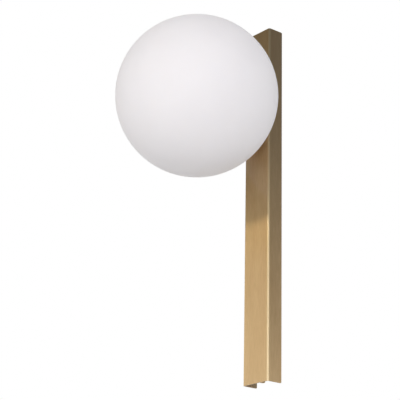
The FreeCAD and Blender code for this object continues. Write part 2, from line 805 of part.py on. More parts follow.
def capsule(name, radius):
    """A rod along Y from the lamp's skirt, with a domed end."""
    end = f"{SKIRT_FRONT} - diffuser_length"
    tube = rod(name + "_tube", radius, "Y", "diffuser_length", y=end, z="globe_height")
    return fuse(name, tube, ball(name + "_dome", radius, y=end, z="globe_height"))


def lamp_diffuser():
    """The frosted capsule over the lit board, open at the skirt."""
    outside = capsule("diffuser_outside", "diffuser_radius")
    inside = capsule("diffuser_inside", "diffuser_radius - diffuser_wall")
    piece("lamp_diffuser", cut("lamp_diffuser", outside, inside))


def lamp_board():
    half_width = "(diffuser_radius - diffuser_wall - board_side_gap)"
    piece("lamp_board", block(
        "lamp_board", (f"-{half_width}", half_width), (f"{SKIRT_FRONT} - diffuser_length", SKIRT_FRONT),
        about_globe_axis("board_sheet")))


def lamp_chips():
    """A row of light-emitting chips on each face of the board."""
    count = int(size("chip_count"))
    across = ("-chip_width / 2", "chip_width / 2")
    below = ("globe_height - board_sheet / 2 - chip_height", "globe_height - board_sheet / 2")
    above = ("globe_height + board_sheet / 2", "globe_height + board_sheet / 2 + chip_height")
    for i in range(count):
        middle = f"{SKIRT_FRONT} - chip_margin - {i} * (diffuser_length - 2 * chip_margin) / {count - 1}"
        along = (f"{middle} - chip_length / 2", f"{middle} + chip_length / 2")
        for end, height in (("_lower", below), ("_upper", above)):
            name = "lamp_chip%s_%d" % (end, i + 1)
            piece(name, block(name, across, along, height))


# The terminal block and the earth.


def terminal_block():
    """A two-pole block: a chamber for each clamp, wells over the screws and wire holes at both ends."""
    half_width = "(pole_pitch / 2 + clamp_width / 2 + clamp_clearance + block_wall)"
    half_height = "(clamp_length / 2 + block_end)"
    low, high = f"block_height - {half_height}", f"block_height + {half_height}"
    front = {"axis": "Y", "y": BLOCK_FRONT}
    reach = "(clamp_width / 2 + clamp_clearance)"
    blank = block("block_blank", (f"-{half_width}", half_width), (BLOCK_FRONT, PLATE_FRONT), (low, high))
    blank = round_edges("block_round", blank, "block_corner_radius", lambda e: runs_along(e, 2))
    tools = [
        rod("block_fixing_hole", "block_screw_radius", length="block_depth", z="block_height", **front),
        rod(
            "block_fixing_well", "block_screw_head_radius + well_clearance",
            length="block_screw_sink + block_screw_head", z="block_height", **front),
    ]
    for side, sign in SIDES:
        middle = f"0 {sign} pole_pitch / 2"
        tools.append(block(
            "block_chamber" + side, (f"{middle} - {reach}", f"{middle} + {reach}"),
            (f"{POLE_AXIS} - {reach}", f"{POLE_AXIS} + {reach}"),
            ("block_height - clamp_length / 2", "block_height + clamp_length / 2")))
        tools.append(rod(
            "block_wire_hole" + side, "wire_hole_radius", "Z", f"2 * {half_height}",
            x=middle, y=POLE_AXIS, z=low))
        for end, way in ENDS:
            tools.append(rod(
                "block_well" + side + end, "terminal_head_radius + well_clearance",
                length="block_depth - pole_depth", x=middle,
                z=f"block_height {way} terminal_screw_offset", **front))
    piece("terminal_block", cut("terminal_block", blank, *tools))


def terminal_clamps():
    """The brass clamps in the block, each bored for the wires and for two screws."""
    low, high = "block_height - clamp_length / 2", "block_height + clamp_length / 2"
    front, back = f"{POLE_AXIS} - clamp_width / 2", f"{POLE_AXIS} + clamp_width / 2"
    for side, sign in SIDES:
        name, middle = "terminal_clamp" + side, f"0 {sign} pole_pitch / 2"
        across = (f"{middle} - clamp_width / 2", f"{middle} + clamp_width / 2")
        bar = block(name + "_bar", across, (front, back), (low, high))
        bore = rod(name + "_bore", "wire_hole_radius", "Z", "clamp_length", middle, POLE_AXIS, low)
        holes = [
            rod(
                name + "_hole" + end, "terminal_screw_radius", "Y", "clamp_width / 2",
                x=middle, y=front, z=f"block_height {way} terminal_screw_offset")
            for end, way in ENDS
        ]
        piece(name, cut(name, bar, bore, *holes))


def terminal_screws():
    """Four clamp screws, whose tips stand just inside the wire bores."""
    head_front = f"({BLOCK_FRONT} + terminal_head_sink)"
    tip = f"({POLE_AXIS} - wire_hole_radius + terminal_screw_entry)"
    for side, sign in SIDES:
        for end, way in ENDS:
            name = "terminal_screw" + side + end
            piece(name, screw(
                name, "terminal_screw_radius", f"{tip} - {head_front}", "terminal_head_radius",
                "terminal_head", y=head_front, head_y=head_front,
                x=f"0 {sign} pole_pitch / 2", z=f"block_height {way} terminal_screw_offset"))


def block_screw():
    head_front = f"({BLOCK_FRONT} + block_screw_sink)"
    piece("block_screw", screw(
        "block_screw", "block_screw_radius", f"-{head_front}", "block_screw_head_radius",
        "block_screw_head", y=head_front, head_y=head_front, z="block_height"))


def earth_washer(name, front, z):
    hole = "earth_thread_radius + earth_washer_clearance"
    piece(name, ring(name, "earth_washer_radius", hole, "Y", "earth_washer", y=front, z=z))


def earth_screw():
    """The screw in the bracket for the supply's earth wire, with its washer."""
    z = "-earth_screw_drop"
    piece("earth_screw", screw(
        "earth_screw", "earth_thread_radius", "earth_washer + bracket_sheet", "earth_head_radius",
        "earth_head", y=EARTH_WASHER_FRONT, head_y=f"{EARTH_WASHER_FRONT} - earth_head", z=z))
    earth_washer("earth_screw_washer", EARTH_WASHER_FRONT, z)


def earth_stud():
    """The stud welded in the channel for its own earth wire, with a washer and a nut."""
    z = "-earth_stud_drop"
    length = "earth_washer + earth_nut + earth_stud_end"
    piece("earth_stud", rod("earth_stud", "earth_thread_radius", "Y", length, y=FRONT_INSIDE, z=z))
    earth_washer("earth_nut_washer", FRONT_INSIDE, z)
    piece("earth_nut", hex_nut(
        "earth_nut", "earth_nut_across", "earth_thread_radius", "earth_nut",
        y=f"{FRONT_INSIDE} + earth_washer", z=z))


def build():
    channel_housing()
    welded_tab("top_hanger_tab", TOP_FLANGE, "peg_radius + peg_clearance")
    welded_tab("bottom_tab", TAB_UNDERSIDE, "lock_screw_radius + peg_clearance")
    wall_bracket()
    hanger_peg()
    threaded_insert()
    locking_screw()
    locking_washer()
    cable_grommet()
    glass_globe()
    globe_gasket()
    threaded_collar()
    collar_fixings()
    holder_bridge()
    lampholder_body()
    lampholder_contacts()
    lampholder_screws()
    lamp_base()
    lamp_pins()
    lamp_diffuser()
    lamp_board()
    lamp_chips()
    terminal_block()
    terminal_clamps()
    terminal_screws()
    block_screw()
    earth_screw()
    earth_stud()


def check_and_write():
    """Stops on a failed object or an invalid solid, and otherwise writes each piece to its file."""
    doc.recompute()
    for item in doc.Objects:
        if {"Invalid", "Error"} & set(item.State):
            raise RuntimeError("%s (%s) failed: %s" % (item.Name, item.Label, item.State))
    for label, item in pieces.items():
        if item.Shape.isNull() or not item.Shape.isValid() or not item.Shape.Solids:
            raise RuntimeError("%s has no valid solid" % label)
    os.makedirs("parts", exist_ok=True)
    for label, item in pieces.items():
        item.Shape.exportStep("parts/%s.step" % label)
        print("%s: %d solid(s), %.1f mm3" % (label, len(item.Shape.Solids), item.Shape.Volume))


build()
check_and_write()
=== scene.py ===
# %% [markdown]
# # A globe wall sconce
#
# The real lamp is a strip of brass sheet folded into a channel, which hangs on a steel bracket. An opal
# glass globe screws into a collar behind the channel's front wall, and a small two-pin lamp stands inside
# the globe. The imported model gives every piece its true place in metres, and this lesson dresses it: each
# visible piece is modelled again with finer edges, and every finish is a material made of nodes.

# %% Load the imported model
import math

import bmesh
import bpy
from mathutils import Matrix, Vector


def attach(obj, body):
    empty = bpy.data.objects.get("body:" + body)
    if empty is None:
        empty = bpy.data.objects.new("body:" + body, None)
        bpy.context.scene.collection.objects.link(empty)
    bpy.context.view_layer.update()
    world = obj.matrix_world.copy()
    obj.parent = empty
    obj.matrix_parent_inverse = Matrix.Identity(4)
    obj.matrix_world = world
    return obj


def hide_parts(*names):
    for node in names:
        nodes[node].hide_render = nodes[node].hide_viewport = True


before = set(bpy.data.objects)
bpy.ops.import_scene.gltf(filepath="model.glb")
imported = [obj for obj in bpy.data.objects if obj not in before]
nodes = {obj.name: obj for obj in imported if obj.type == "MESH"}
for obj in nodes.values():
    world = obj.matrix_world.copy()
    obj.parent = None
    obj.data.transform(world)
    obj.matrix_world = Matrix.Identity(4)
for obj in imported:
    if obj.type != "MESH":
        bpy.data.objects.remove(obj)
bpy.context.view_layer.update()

# %% [markdown]
# ## The camera
#
# The photograph was taken from the right, from below and from about 1.8 m away, so its upright edges lean
# a little. The camera's place was found by matching the outline of the globe and the edges of the
# channel. The lens is about 126 mm on a 36 mm sensor, and the camera is rolled by a little over a degree.
# The Standard view shows a colour as it is written, which a white glass globe on a white background
# needs.

# %% Camera
AZIMUTH, ELEVATION, ROLL = math.radians(51.22), math.radians(-19.41), math.radians(1.266)
LOOKS_AT, DISTANCE = Vector((-0.0647, -0.060, 0.0089)), 1.772
SENSOR_MM, FOCAL_PIXELS, PICTURE_PIXELS = 36, 1403, 400
camera_back = Vector((
    math.sin(AZIMUTH) * math.cos(ELEVATION), -math.cos(AZIMUTH) * math.cos(ELEVATION), math.sin(ELEVATION)))
level_right = Vector((math.cos(AZIMUTH), math.sin(AZIMUTH), 0))
level_up = camera_back.cross(level_right)
camera_right = level_right * math.cos(ROLL) + level_up * math.sin(ROLL)
camera_up = level_up * math.cos(ROLL) - level_right * math.sin(ROLL)
camera_place = LOOKS_AT + camera_back * DISTANCE

camera = bpy.data.objects.new("camera", bpy.data.cameras.new("camera"))
bpy.context.scene.collection.objects.link(camera)
camera.data.sensor_width = SENSOR_MM
camera.data.lens = SENSOR_MM * FOCAL_PIXELS / PICTURE_PIXELS
turn = Matrix((camera_right, camera_up, camera_back)).transposed().to_4x4()
camera.matrix_world = Matrix.Translation(camera_place) @ turn
bpy.context.scene.camera = camera
bpy.context.scene.view_settings.view_transform = "Standard"
print("camera at", [round(value, 3) for value in camera_place])

# %% [markdown]
# ## Helpers for shader nodes
#
# A material is a small tree of nodes. `add` makes one node, fills its inputs and links them, so each
# material below reads as a list of what it is made of. Colours are written as sRGB hex values, as a paint
# chart gives them, and turned to the linear values that the shaders work in.


# %% One helper for every node
def colour(code):
    """An sRGB hex value as a linear colour."""
    parts = [int(code[i:i + 2], 16) / 255 for i in (1, 3, 5)]
    return tuple(c / 12.92 if c <= 0.04045 else ((c + 0.055) / 1.055) ** 2.4 for c in parts) + (1,)


def grey(value):
    return (value, value, value, 1)


def add(tree, kind, inputs, **settings):
    """Adds a node. Each input is a value, or a node and the name or number of its output."""
    node = tree.nodes.new(kind)
    for name, value in settings.items():
        setattr(node, name, value)
    for socket, value in inputs.items():
        if isinstance(value, tuple) and isinstance(value[0], bpy.types.Node):
            tree.links.new(value[0].outputs[value[1]], node.inputs[socket])
        else:
            node.inputs[socket].default_value = value
    return node


def set_ramp(node, stops):
    """Gives a colour ramp its stops, as pairs of place and linear colour."""
    elements = node.color_ramp.elements
    while len(elements) > 1:
        elements.remove(elements[-1])
    elements[0].position, elements[0].color = stops[0]
    for place, value in stops[1:]:
        elements.new(place).color = value
    return node


def mixed(tree, share, first, second, blend="MIX"):
    """Mixes two colours. Its result is output number 2."""
    return add(tree, "ShaderNodeMix", {0: share, 6: first, 7: second}, data_type="RGBA", blend_type=blend)


def parts_of(tree, space="Object"):
    """The X, Y and Z of a place, which in object space are in metres."""
    place = add(tree, "ShaderNodeTexCoord", {})
    return add(tree, "ShaderNodeSeparateXYZ", {"Vector": (place, space)})


def ranged(tree, source, output, start, end, low=0.0, high=1.0, curve="LINEAR"):
    """A value's way from start to end, as a way from low to high."""
    return add(tree, "ShaderNodeMapRange", {
        "Value": (source, output), "From Min": start, "From Max": end, "To Min": low, "To Max": high},
        interpolation_type=curve)


# %% [markdown]
# Most finishes are alike in how they are built. `finish` makes an empty one with its shader. A noise,
# stretched along the axis that the surface was worked in, then gives it a drift of tone, uneven gloss and
# a fine relief.


# %% An empty finish, and what is linked into it
def emptied(name):
    """A material with nothing in its tree."""
    material = bpy.data.materials.new(name)
    material.use_nodes = True
    material.node_tree.nodes.clear()
    return material, material.node_tree


def finish(name, base, roughness, metallic=0.0, **inputs):
    """A material with one principled shader, returned with its tree and shader to add to."""
    material, tree = emptied(name)
    values = {"Base Color": colour(base), "Roughness": roughness, "Metallic": metallic}
    values.update({word.replace("_", " "): value for word, value in inputs.items()})
    shader = add(tree, "ShaderNodeBsdfPrincipled", values)
    add(tree, "ShaderNodeOutputMaterial", {"Surface": (shader, "BSDF")})
    return material, tree, shader


def link(tree, source, output, target, socket):
    tree.links.new(source.outputs[output], target.inputs[socket])


def noise(tree, stretch, detail=2.0, scale=1.0):
    """Noise in object space. Each axis is stretched to cycles per metre."""
    place = add(tree, "ShaderNodeTexCoord", {})
    spread = add(tree, "ShaderNodeMapping", {"Vector": (place, "Object"), "Scale": stretch})
    return add(tree, "ShaderNodeTexNoise", {"Vector": (spread, "Vector"), "Scale": scale, "Detail": detail})


def tones(tree, source, dark, light, low=0.35, high=0.65):
    """A noise as a drift between two near colours."""
    ramp = add(tree, "ShaderNodeValToRGB", {"Fac": (source, "Fac")})
    return set_ramp(ramp, [(low, colour(dark)), (high, colour(light))])


def uneven_gloss(tree, shader, source, least, most, low=0.35, high=0.65):
    link(tree, ranged(tree, source, "Fac", low, high, least, most), "Result", shader, "Roughness")


def fine_relief(tree, shader, source, strength):
    """A relief 0.1 mm deep at full strength."""
    relief = add(tree, "ShaderNodeBump", {
        "Height": (source, "Fac"), "Strength": strength, "Distance": 0.0001})
    link(tree, relief, "Normal", shader, "Normal")


# %% [markdown]
# ## Light
#
# Brushed brass shows little colour of its own: it shows the room. In the photograph its upright faces are
# pale low down, where they mirror the white studio, and dark higher up, where they mirror something dim
# above the horizon. A photographer puts dark cards there on purpose, because metal in an all-white room
# looks like paper. So the world is a plain white room, and a graduated screen, which only reflections
# see, stands in a ring around it: white at the bottom, dark higher up, a little warmer on the left and
# cooler on the right. It leans to the right-hand back, because the brass is darker there, and stays white
# to a greater height straight ahead, where the fold looks. The world is white for the camera, for gloss
# and for glass, and less bright for the light that it sheds.
#
# Four lamps add what a room can't. The key is small and straight ahead, at the height that the brass
# mirrors into the lens: the globe's shadow ends on the channel in a sharp level line. The others are
# broad and soft, and the low one is the bounce of a white table.

# %% The white studio room, as the world
world = bpy.data.worlds.new("studio")
bpy.context.scene.world = world
world.use_nodes = True
tree = world.node_tree
tree.nodes.clear()
height = ranged(tree, parts_of(tree, "Generated"), "Z", -1.0, 1.0)
shed = set_ramp(add(tree, "ShaderNodeValToRGB", {"Fac": (height, "Result")}), [
    (0.00, grey(0.62)), (0.50, grey(0.97)), (1.00, grey(0.28))])
ray = add(tree, "ShaderNodeLightPath", {})
mirrored = add(tree, "ShaderNodeMath", {
    0: (ray, "Is Camera Ray"), 1: (ray, "Is Glossy Ray")}, operation="MAXIMUM")
shown = add(tree, "ShaderNodeMath", {
    0: (mirrored, "Value"), 1: (ray, "Is Transmission Ray")}, operation="MAXIMUM")
seen = mixed(tree, (shown, "Value"), (shed, "Color"), grey(1.0))
shade = add(tree, "ShaderNodeBackground", {"Color": (seen, 2), "Strength": 1.0})
add(tree, "ShaderNodeOutputWorld", {"Surface": (shade, "Background")})
print("world nodes:", len(tree.nodes))


# %% The key, and the fills beside the camera, high and low
def soft_box(name, azimuth, elevation, distance, aim, size, power, tint="#FFFFFF"):
    """A square lamp that looks at its aim. Its place is a direction and a distance from the channel, and
    azimuth 0 is straight in front of it. Angles are in degrees, sizes in metres and power in watts."""
    turn, rise = math.radians(azimuth), math.radians(elevation)
    place = Vector((distance * math.sin(turn) * math.cos(rise),
                    -distance * math.cos(turn) * math.cos(rise), distance * math.sin(rise)))
    light = bpy.data.objects.new(name, bpy.data.lights.new(name, "AREA"))
    bpy.context.scene.collection.objects.link(light)
    light.data.shape = "SQUARE"
    light.data.size, light.data.energy, light.data.color = size, power, colour(tint)[:3]
    facing = (place - Vector(aim)).to_track_quat("Z", "Y").to_matrix().to_4x4()
    light.matrix_world = Matrix.Translation(place) @ facing
    light.visible_camera = False


CHANNEL_HEART, GLOBE_HEART = (0, -0.02, 0), (0, -0.12, 0.11)
soft_box("key", 0, 19.5, 2.2, CHANNEL_HEART, 0.2, 3.4, "#FFF5DE")
soft_box("camera_fill", 51, 3, 2.4, CHANNEL_HEART, 1.3, 14)
soft_box("high_fill", 39, 49, 2.2, CHANNEL_HEART, 0.6, 1.5)
soft_box("low_fill", 20, -48, 1.4, GLOBE_HEART, 0.9, 2.0)

# %% The floor
bpy.ops.mesh.primitive_plane_add(size=8, location=(0, 0, -1.25))
floor = bpy.context.object
floor.name = "floor"
floor_paint, tree, shader = finish("white_floor_paint", "#F8F8F6", 0.9)
mottle = noise(tree, (1, 1, 1), 3.0, 60.0)
link(tree, tones(tree, mottle, "#F2F2F0", "#F8F8F6", 0.3, 0.7), "Color", shader, "Base Color")
floor.data.materials.append(floor_paint)

# %% The graduated screen
# Each pair of FADE is an angle above the horizon, seen from the channel, and how white the screen is there.
FADE = (4, 1.0), (8.5, 0.89), (10.9, 0.70), (12.2, 0.37), (13.3, 0.24), (16, 0.24), (18.5, 0.25), (27, 0.21)
RADIUS, LOW, HIGH = 3, math.tan(math.radians(3)), math.tan(math.radians(44))
LEAN, LEAN_AXIS = math.radians(4.5), Vector((-0.59, 0.735, 0))
bpy.ops.mesh.primitive_cylinder_add(
    vertices=96, radius=RADIUS, depth=RADIUS * (HIGH - LOW), end_fill_type="NOTHING",
    location=(0, 0, RADIUS / 2 * (HIGH + LOW)))
ring = bpy.context.object
ring.name = "graduated_screen"
bpy.ops.object.transform_apply(location=True, rotation=True, scale=True)
screen, tree = emptied("graduated_screen_paper")
parts = parts_of(tree)
height = ranged(tree, parts, "Z", 0.0, RADIUS)
# Straight ahead, from 2.2 to 2.8 m in front, the white goes up by 0.075 of the radius.
ahead = ranged(tree, parts, "Y", -2.2, -2.8, 0.0, 0.075, "SMOOTHSTEP")
lowered = add(tree, "ShaderNodeMath", {0: (height, "Result"), 1: (ahead, "Result")}, operation="SUBTRACT")
fade = set_ramp(add(tree, "ShaderNodeValToRGB", {"Fac": (lowered, "Value")}), [
    (math.tan(math.radians(angle)), grey(value)) for angle, value in FADE])
side = ranged(tree, parts, "X", -2.0, 2.0)
tint = mixed(tree, (side, "Result"), colour("#ECE6D6"), colour("#E8F0FF"))
tinted = mixed(tree, 1.0, (fade, "Color"), (tint, 2), "MULTIPLY")
glow = add(tree, "ShaderNodeEmission", {"Color": (tinted, 2), "Strength": 1.2})
add(tree, "ShaderNodeOutputMaterial", {"Surface": (glow, "Emission")})
ring.data.materials.append(screen)
ring.matrix_world = Matrix.Rotation(LEAN, 4, LEAN_AXIS) @ ring.matrix_world
ring.visible_camera = ring.visible_diffuse = ring.visible_shadow = False
print("screen from", round(RADIUS * LOW, 2), "to", round(RADIUS * HIGH, 2), "m up")

# %% [markdown]
# ## Finishes of the parts that show
#
# Each material starts from what the real surface is and how it was made.
#
# ** Satin-brushed brass.** The sheet was brushed along its length with a fine belt before it was folded,
# then lacquered. Brush lines are about 0.1 mm apart, too fine for this picture, so they are drawn 0.5 mm
# wide and faint. They spread reflections sideways, and a slow drift of tone along the strip shows the
# hand of the polisher. The channel's two front folds are painted a paler brass, a painted highlight.

# %% Satin-brushed brass
brushed_brass, tree, shader = finish(
    "satin_brushed_brass", "#CBAB7B", 0.40, 1.0, Anisotropic=1.0,
    Coat_Weight=1.0, Coat_Roughness=0.06, Coat_IOR=1.5)
around = add(tree, "ShaderNodeTangent", {}, direction_type="RADIAL", axis="Z")
link(tree, around, "Tangent", shader, "Tangent")
lines = noise(tree, (2200, 2200, 90), 3.0)
tone = tones(tree, lines, "#C3A372", "#D3B384", 0.30, 0.70)
warm = tones(tree, noise(tree, (40, 40, 6)), "#F8F4F0", "#FFFFFF")
brass_tone = mixed(tree, 1.0, (tone, "Color"), (warm, "Color"), "MULTIPLY")
parts = parts_of(tree)
sideways = add(tree, "ShaderNodeMath", {0: (parts, "X")}, operation="ABSOLUTE")
at_side = ranged(tree, sideways, "Value", 0.0200, 0.0210, curve="SMOOTHSTEP")
at_front = ranged(tree, parts, "Y", -0.0193, -0.0201, curve="SMOOTHSTEP")
fold = add(tree, "ShaderNodeMath", {0: (at_side, "Result"), 1: (at_front, "Result")}, operation="MULTIPLY")
# Painted highlight: the two front folds are mixed to a paler brass, so their bright lines show whiter.
painted_fold_highlight = mixed(tree, (fold, "Value"), (brass_tone, 2), colour("#D8BE90"))
link(tree, painted_fold_highlight, 2, shader, "Base Color")
uneven_gloss(tree, shader, lines, 0.38, 0.42, 0.3, 0.7)
fine_relief(tree, shader, lines, 0.04)

# %% [markdown]
# **Opal glass.** A blown globe of two layers: milky glass inside and a skin of clear glass outside,
# etched to a satin. Light goes a few millimetres in and comes back white, so the ball looks soft and
# even, and its rim catches a thin pale edge.

# %% Satin opal glass
opal_glass, tree, shader = finish(
    "satin_opal_glass", "#F4EFF3", 0.7, IOR=1.5, Subsurface_Weight=0.55, Subsurface_Scale=0.006)
shader.inputs["Subsurface Radius"].default_value = (1.0, 0.95, 0.9)
cloud = noise(tree, (18, 18, 18))
link(tree, tones(tree, cloud, "#F3EEF2", "#F5F0F4"), "Color", shader, "Base Color")
fine_relief(tree, shader, noise(tree, (2500, 2500, 2500)), 0.03)

# %% [markdown]
# ## Modelling by hand, in code
#
# Every piece starts from a primitive at its real size and place, which is then shaped in edit mode. An
# operator acts on all that is selected, so each step first selects exactly one piece, and then the
# corners, edges or faces that it needs, by where they are. The sizes below are in millimetres, because
# that is how a workshop drawing gives them.

# %% Sizes that several pieces share, in millimetres
MM = 0.001  # one millimetre in metres
GLOBE_Z = 113.0  # height of the axis of the globe, collar, bridge, holder and lamp
PEG = (0, -10.5, 0)  # the upright axis of the peg, the insert and the locking screw
print("globe's axis at", GLOBE_Z, "mm, peg's axis at", PEG)


# %% Selecting pieces and their parts
def alone(piece):
    """Selects one piece and nothing else."""
    if bpy.context.object and bpy.context.object.mode != "OBJECT":
        bpy.ops.object.mode_set(mode="OBJECT")
    bpy.ops.object.select_all(action="DESELECT")
    piece.select_set(True)
    bpy.context.view_layer.objects.active = piece


def pick(piece, kind, test):
    """Opens a piece in edit mode and selects its vertices, edges or faces whose middle passes the test. The
    test is given the middle in millimetres."""
    alone(piece)
    bpy.ops.object.mode_set(mode="EDIT")
    bpy.ops.mesh.select_mode(type=kind)
    bpy.ops.mesh.select_all(action="DESELECT")
    mesh = bmesh.from_edit_mesh(piece.data)
    groups = {"VERT": mesh.verts, "EDGE": mesh.edges, "FACE": mesh.faces}
    for part in groups[kind]:
        corners = [part.co] if kind == "VERT" else [vertex.co for vertex in part.verts]
        if test(sum(corners, Vector()) / len(corners) / MM):
            part.select_set(True)
    mesh.select_flush_mode()
    bmesh.update_edit_mesh(piece.data)


def near(value, target):
    return abs(value - target) < 0.01


def fixed(piece, name):
    """Names a piece and puts its place, turn and size into its mesh."""
    alone(piece)
    bpy.ops.object.transform_apply(location=True, rotation=True, scale=True)
    piece.name = piece.data.name = name
    return piece


# %% Primitives at their size and place
def block(name, low, high):
    """A block between two corners."""
    low, high = Vector(low) * MM, Vector(high) * MM
    bpy.ops.mesh.primitive_cube_add(size=1, location=(low + high) / 2, scale=high - low)
    return fixed(bpy.context.object, name)


TURN = {"X": (0, math.pi / 2, 0), "Y": (math.pi / 2, 0, 0), "Z": (0, 0, 0)}
AXIS = {"X": Vector((1, 0, 0)), "Y": Vector((0, 1, 0)), "Z": Vector((0, 0, 1))}


def rod(name, axis, centre, radius, start, end, sides=48):
    """A rod along an axis, between two heights on it. Its centre's own height on the axis is left out."""
    place = Vector(centre)
    place["XYZ".index(axis)] = (start + end) / 2
    bpy.ops.mesh.primitive_cylinder_add(
        vertices=sides, radius=radius * MM, depth=abs(end - start) * MM, location=place * MM,
        rotation=TURN[axis])
    return fixed(bpy.context.object, name)


# %% Modifiers, applied as they are added
def apply(piece, kind, **settings):
    """Adds a modifier and puts its result into the mesh."""
    alone(piece)
    modifier = piece.modifiers.new(kind.lower(), kind)
    for name, value in settings.items():
        setattr(modifier, name, value)
    bpy.ops.object.modifier_apply(modifier=modifier.name)


def cut(piece, *tools):
    """Cuts the shape of each tool out of a piece, and throws the tool away."""
    for tool in tools:
        apply(piece, "BOOLEAN", operation="DIFFERENCE", object=tool, solver="EXACT")
        bpy.data.objects.remove(tool)


def join_to(piece, *others):
    """Welds other solids to a piece."""
    for other in others:
        apply(piece, "BOOLEAN", operation="UNION", object=other, solver="EXACT")
        bpy.data.objects.remove(other)


def soften(piece, width=0.15, segments=2, angle=40):
    """Breaks the sharp edges of a piece, then smooths its round faces and keeps its flat ones flat."""
    apply(
        piece, "BEVEL", width=width * MM, segments=segments, limit_method="ANGLE",
        angle_limit=math.radians(angle), harden_normals=False)
    bpy.ops.object.shade_smooth_by_angle(angle=math.radians(35))
    apply(piece, "WEIGHTED_NORMAL", keep_sharp=True, weight=80)


# %% Sheet metal: open a block, round its bends and corners, and thicken the skin
def open_up(piece, test):
    """Deletes the faces whose middle passes the test."""
    pick(piece, "FACE", test)
    bpy.ops.mesh.delete(type="FACE")


def round_edges(piece, width, segments, test):
    """Rounds the edges whose middle passes the test."""
    pick(piece, "EDGE", test)
    bpy.ops.mesh.bevel(offset=width * MM, segments=segments, profile=0.5)
    bpy.ops.object.mode_set(mode="OBJECT")


def thicken(piece, sheet):
    """Gives a skin the thickness of its sheet."""
    apply(piece, "SOLIDIFY", thickness=sheet * MM, offset=-1, use_even_offset=True)


# %% A turned piece
def turned(name, outline, axis="Y", centre=(0, 0, 0), steps=64):
    """A piece made on a lathe. The outline is pairs of radius and height on the axis, in millimetres. It is
    drawn as one vertex that is extruded from point to point, and then spun."""
    middle = Vector(centre)
    middle["XYZ".index(axis)] = 0
    away = AXIS["Z"] if axis != "Z" else AXIS["X"]
    points = [(middle + away * radius + AXIS[axis] * height) * MM for radius, height in outline]
    closed = outline[0][0] > 0 or outline[-1][0] > 0
    bpy.ops.mesh.primitive_plane_add(size=1 * MM, location=points[0])
    piece = fixed(bpy.context.object, name)
    bpy.ops.object.mode_set(mode="EDIT")
    bpy.ops.mesh.select_mode(type="VERT")
    bpy.ops.mesh.select_all(action="SELECT")
    bpy.ops.mesh.merge(type="CENTER")
    for before, after in zip(points, points[1:] + points[:1] if closed else points[1:]):
        bpy.ops.mesh.extrude_region_move(TRANSFORM_OT_translate={"value": after - before})
    bpy.ops.mesh.select_all(action="SELECT")
    bpy.ops.mesh.remove_doubles(threshold=0.0005 * MM)
    bpy.ops.mesh.select_all(action="SELECT")
    bpy.ops.mesh.spin(steps=steps, angle=2 * math.pi, center=middle * MM, axis=AXIS[axis])
    bpy.ops.mesh.select_all(action="SELECT")
    bpy.ops.mesh.remove_doubles(threshold=0.002 * MM)
    bpy.ops.mesh.delete_loose(use_verts=True, use_edges=True, use_faces=False)
    bpy.ops.mesh.select_all(action="SELECT")
    bpy.ops.mesh.normals_make_consistent(inside=False)
    bpy.ops.object.mode_set(mode="OBJECT")
    return piece


def arc(centre_radius, centre_height, radius, start, end, count):
    """Points on an arc, as pairs of radius and height. Angles are in degrees, from outwards towards the axis'
    own direction."""
    angles = [math.radians(start + (end - start) * i / count) for i in range(count + 1)]
    return [(centre_radius + radius * math.cos(a), centre_height + radius * math.sin(a)) for a in angles]


def smooth(piece):
    """Smooths round faces, for pieces whose corners are already in their outline."""
    alone(piece)
    bpy.ops.object.shade_smooth_by_angle(angle=math.radians(35))
    return piece


def copied(piece, name, x=0, y=0, z=0):
    """A moved copy of a piece, with its own mesh."""
    twin = piece.copy()
    twin.data = piece.data.copy()
    bpy.context.scene.collection.objects.link(twin)
    twin.location = Vector((x, y, z)) * MM
    return fixed(twin, name)


# %% [markdown]
# A thread is drawn as rings of its real pitch, because at this size a helix looks the same. The rings
# stay inside the thread's own radius. A screw is one turned outline with a domed head, and a cross is cut
# in it. A nut is a turned ring with slanted corners, kept only where it overlaps a six-sided rod.


# %% Screws and nuts
def thread(radius, start, end, pitch):
    """Crests and roots of a thread, as pairs of radius and height."""
    count = round(abs(end - start) / pitch)
    step = (end - start) / count
    return [
        (radius * share, start + step * (i + part))
        for i in range(count) for share, part in ((1, 0.2), (1, 0.4), (0.86, 0.75), (0.86, 0.95))]


def screw(name, x, z, radius, head_radius, front, seat, tip, pitch):
    """A screw along Y: its head from front to seat, its thread from there to the tip."""
    way = 1 if seat > front else -1
    tall, dome = abs(seat - front), head_radius * 0.45
    head = [(0, front), (head_radius - dome, front), (head_radius - dome * 0.35, front + way * tall * 0.16),
            (head_radius, front + way * tall * 0.5), (head_radius, seat - way * 0.1),
            (head_radius - 0.1, seat), (radius, seat)]
    shank = thread(radius, seat + way * 0.2, tip - way * 0.3, pitch) + [(radius * 0.75, tip), (0, tip)]
    piece = turned(name, head + shank, "Y", (x, 0, z), 32)
    arm, width, deep = head_radius * 0.6, head_radius * 0.13, way * tall * 0.55
    ends = sorted((front - way, front + deep))
    cross = block("cross", (x - arm, ends[0], z - width), (x + arm, ends[1], z + width))
    join_to(cross, block("bar", (x - width, ends[0], z - arm), (x + width, ends[1], z + arm)))
    cut(piece, cross)
    return smooth(piece)


def washer(name, x, z, outer, inner, front, back, axis="Y", y=0):
    """A flat ring with blunt edges."""
    edge = 0.12
    outline = [(inner, front + edge), (inner + edge, front), (outer - edge, front), (outer, front + edge),
               (outer, back - edge), (outer - edge, back), (inner + edge, back), (inner, back - edge)]
    return smooth(turned(name, outline, axis, (x, y, z), 48))


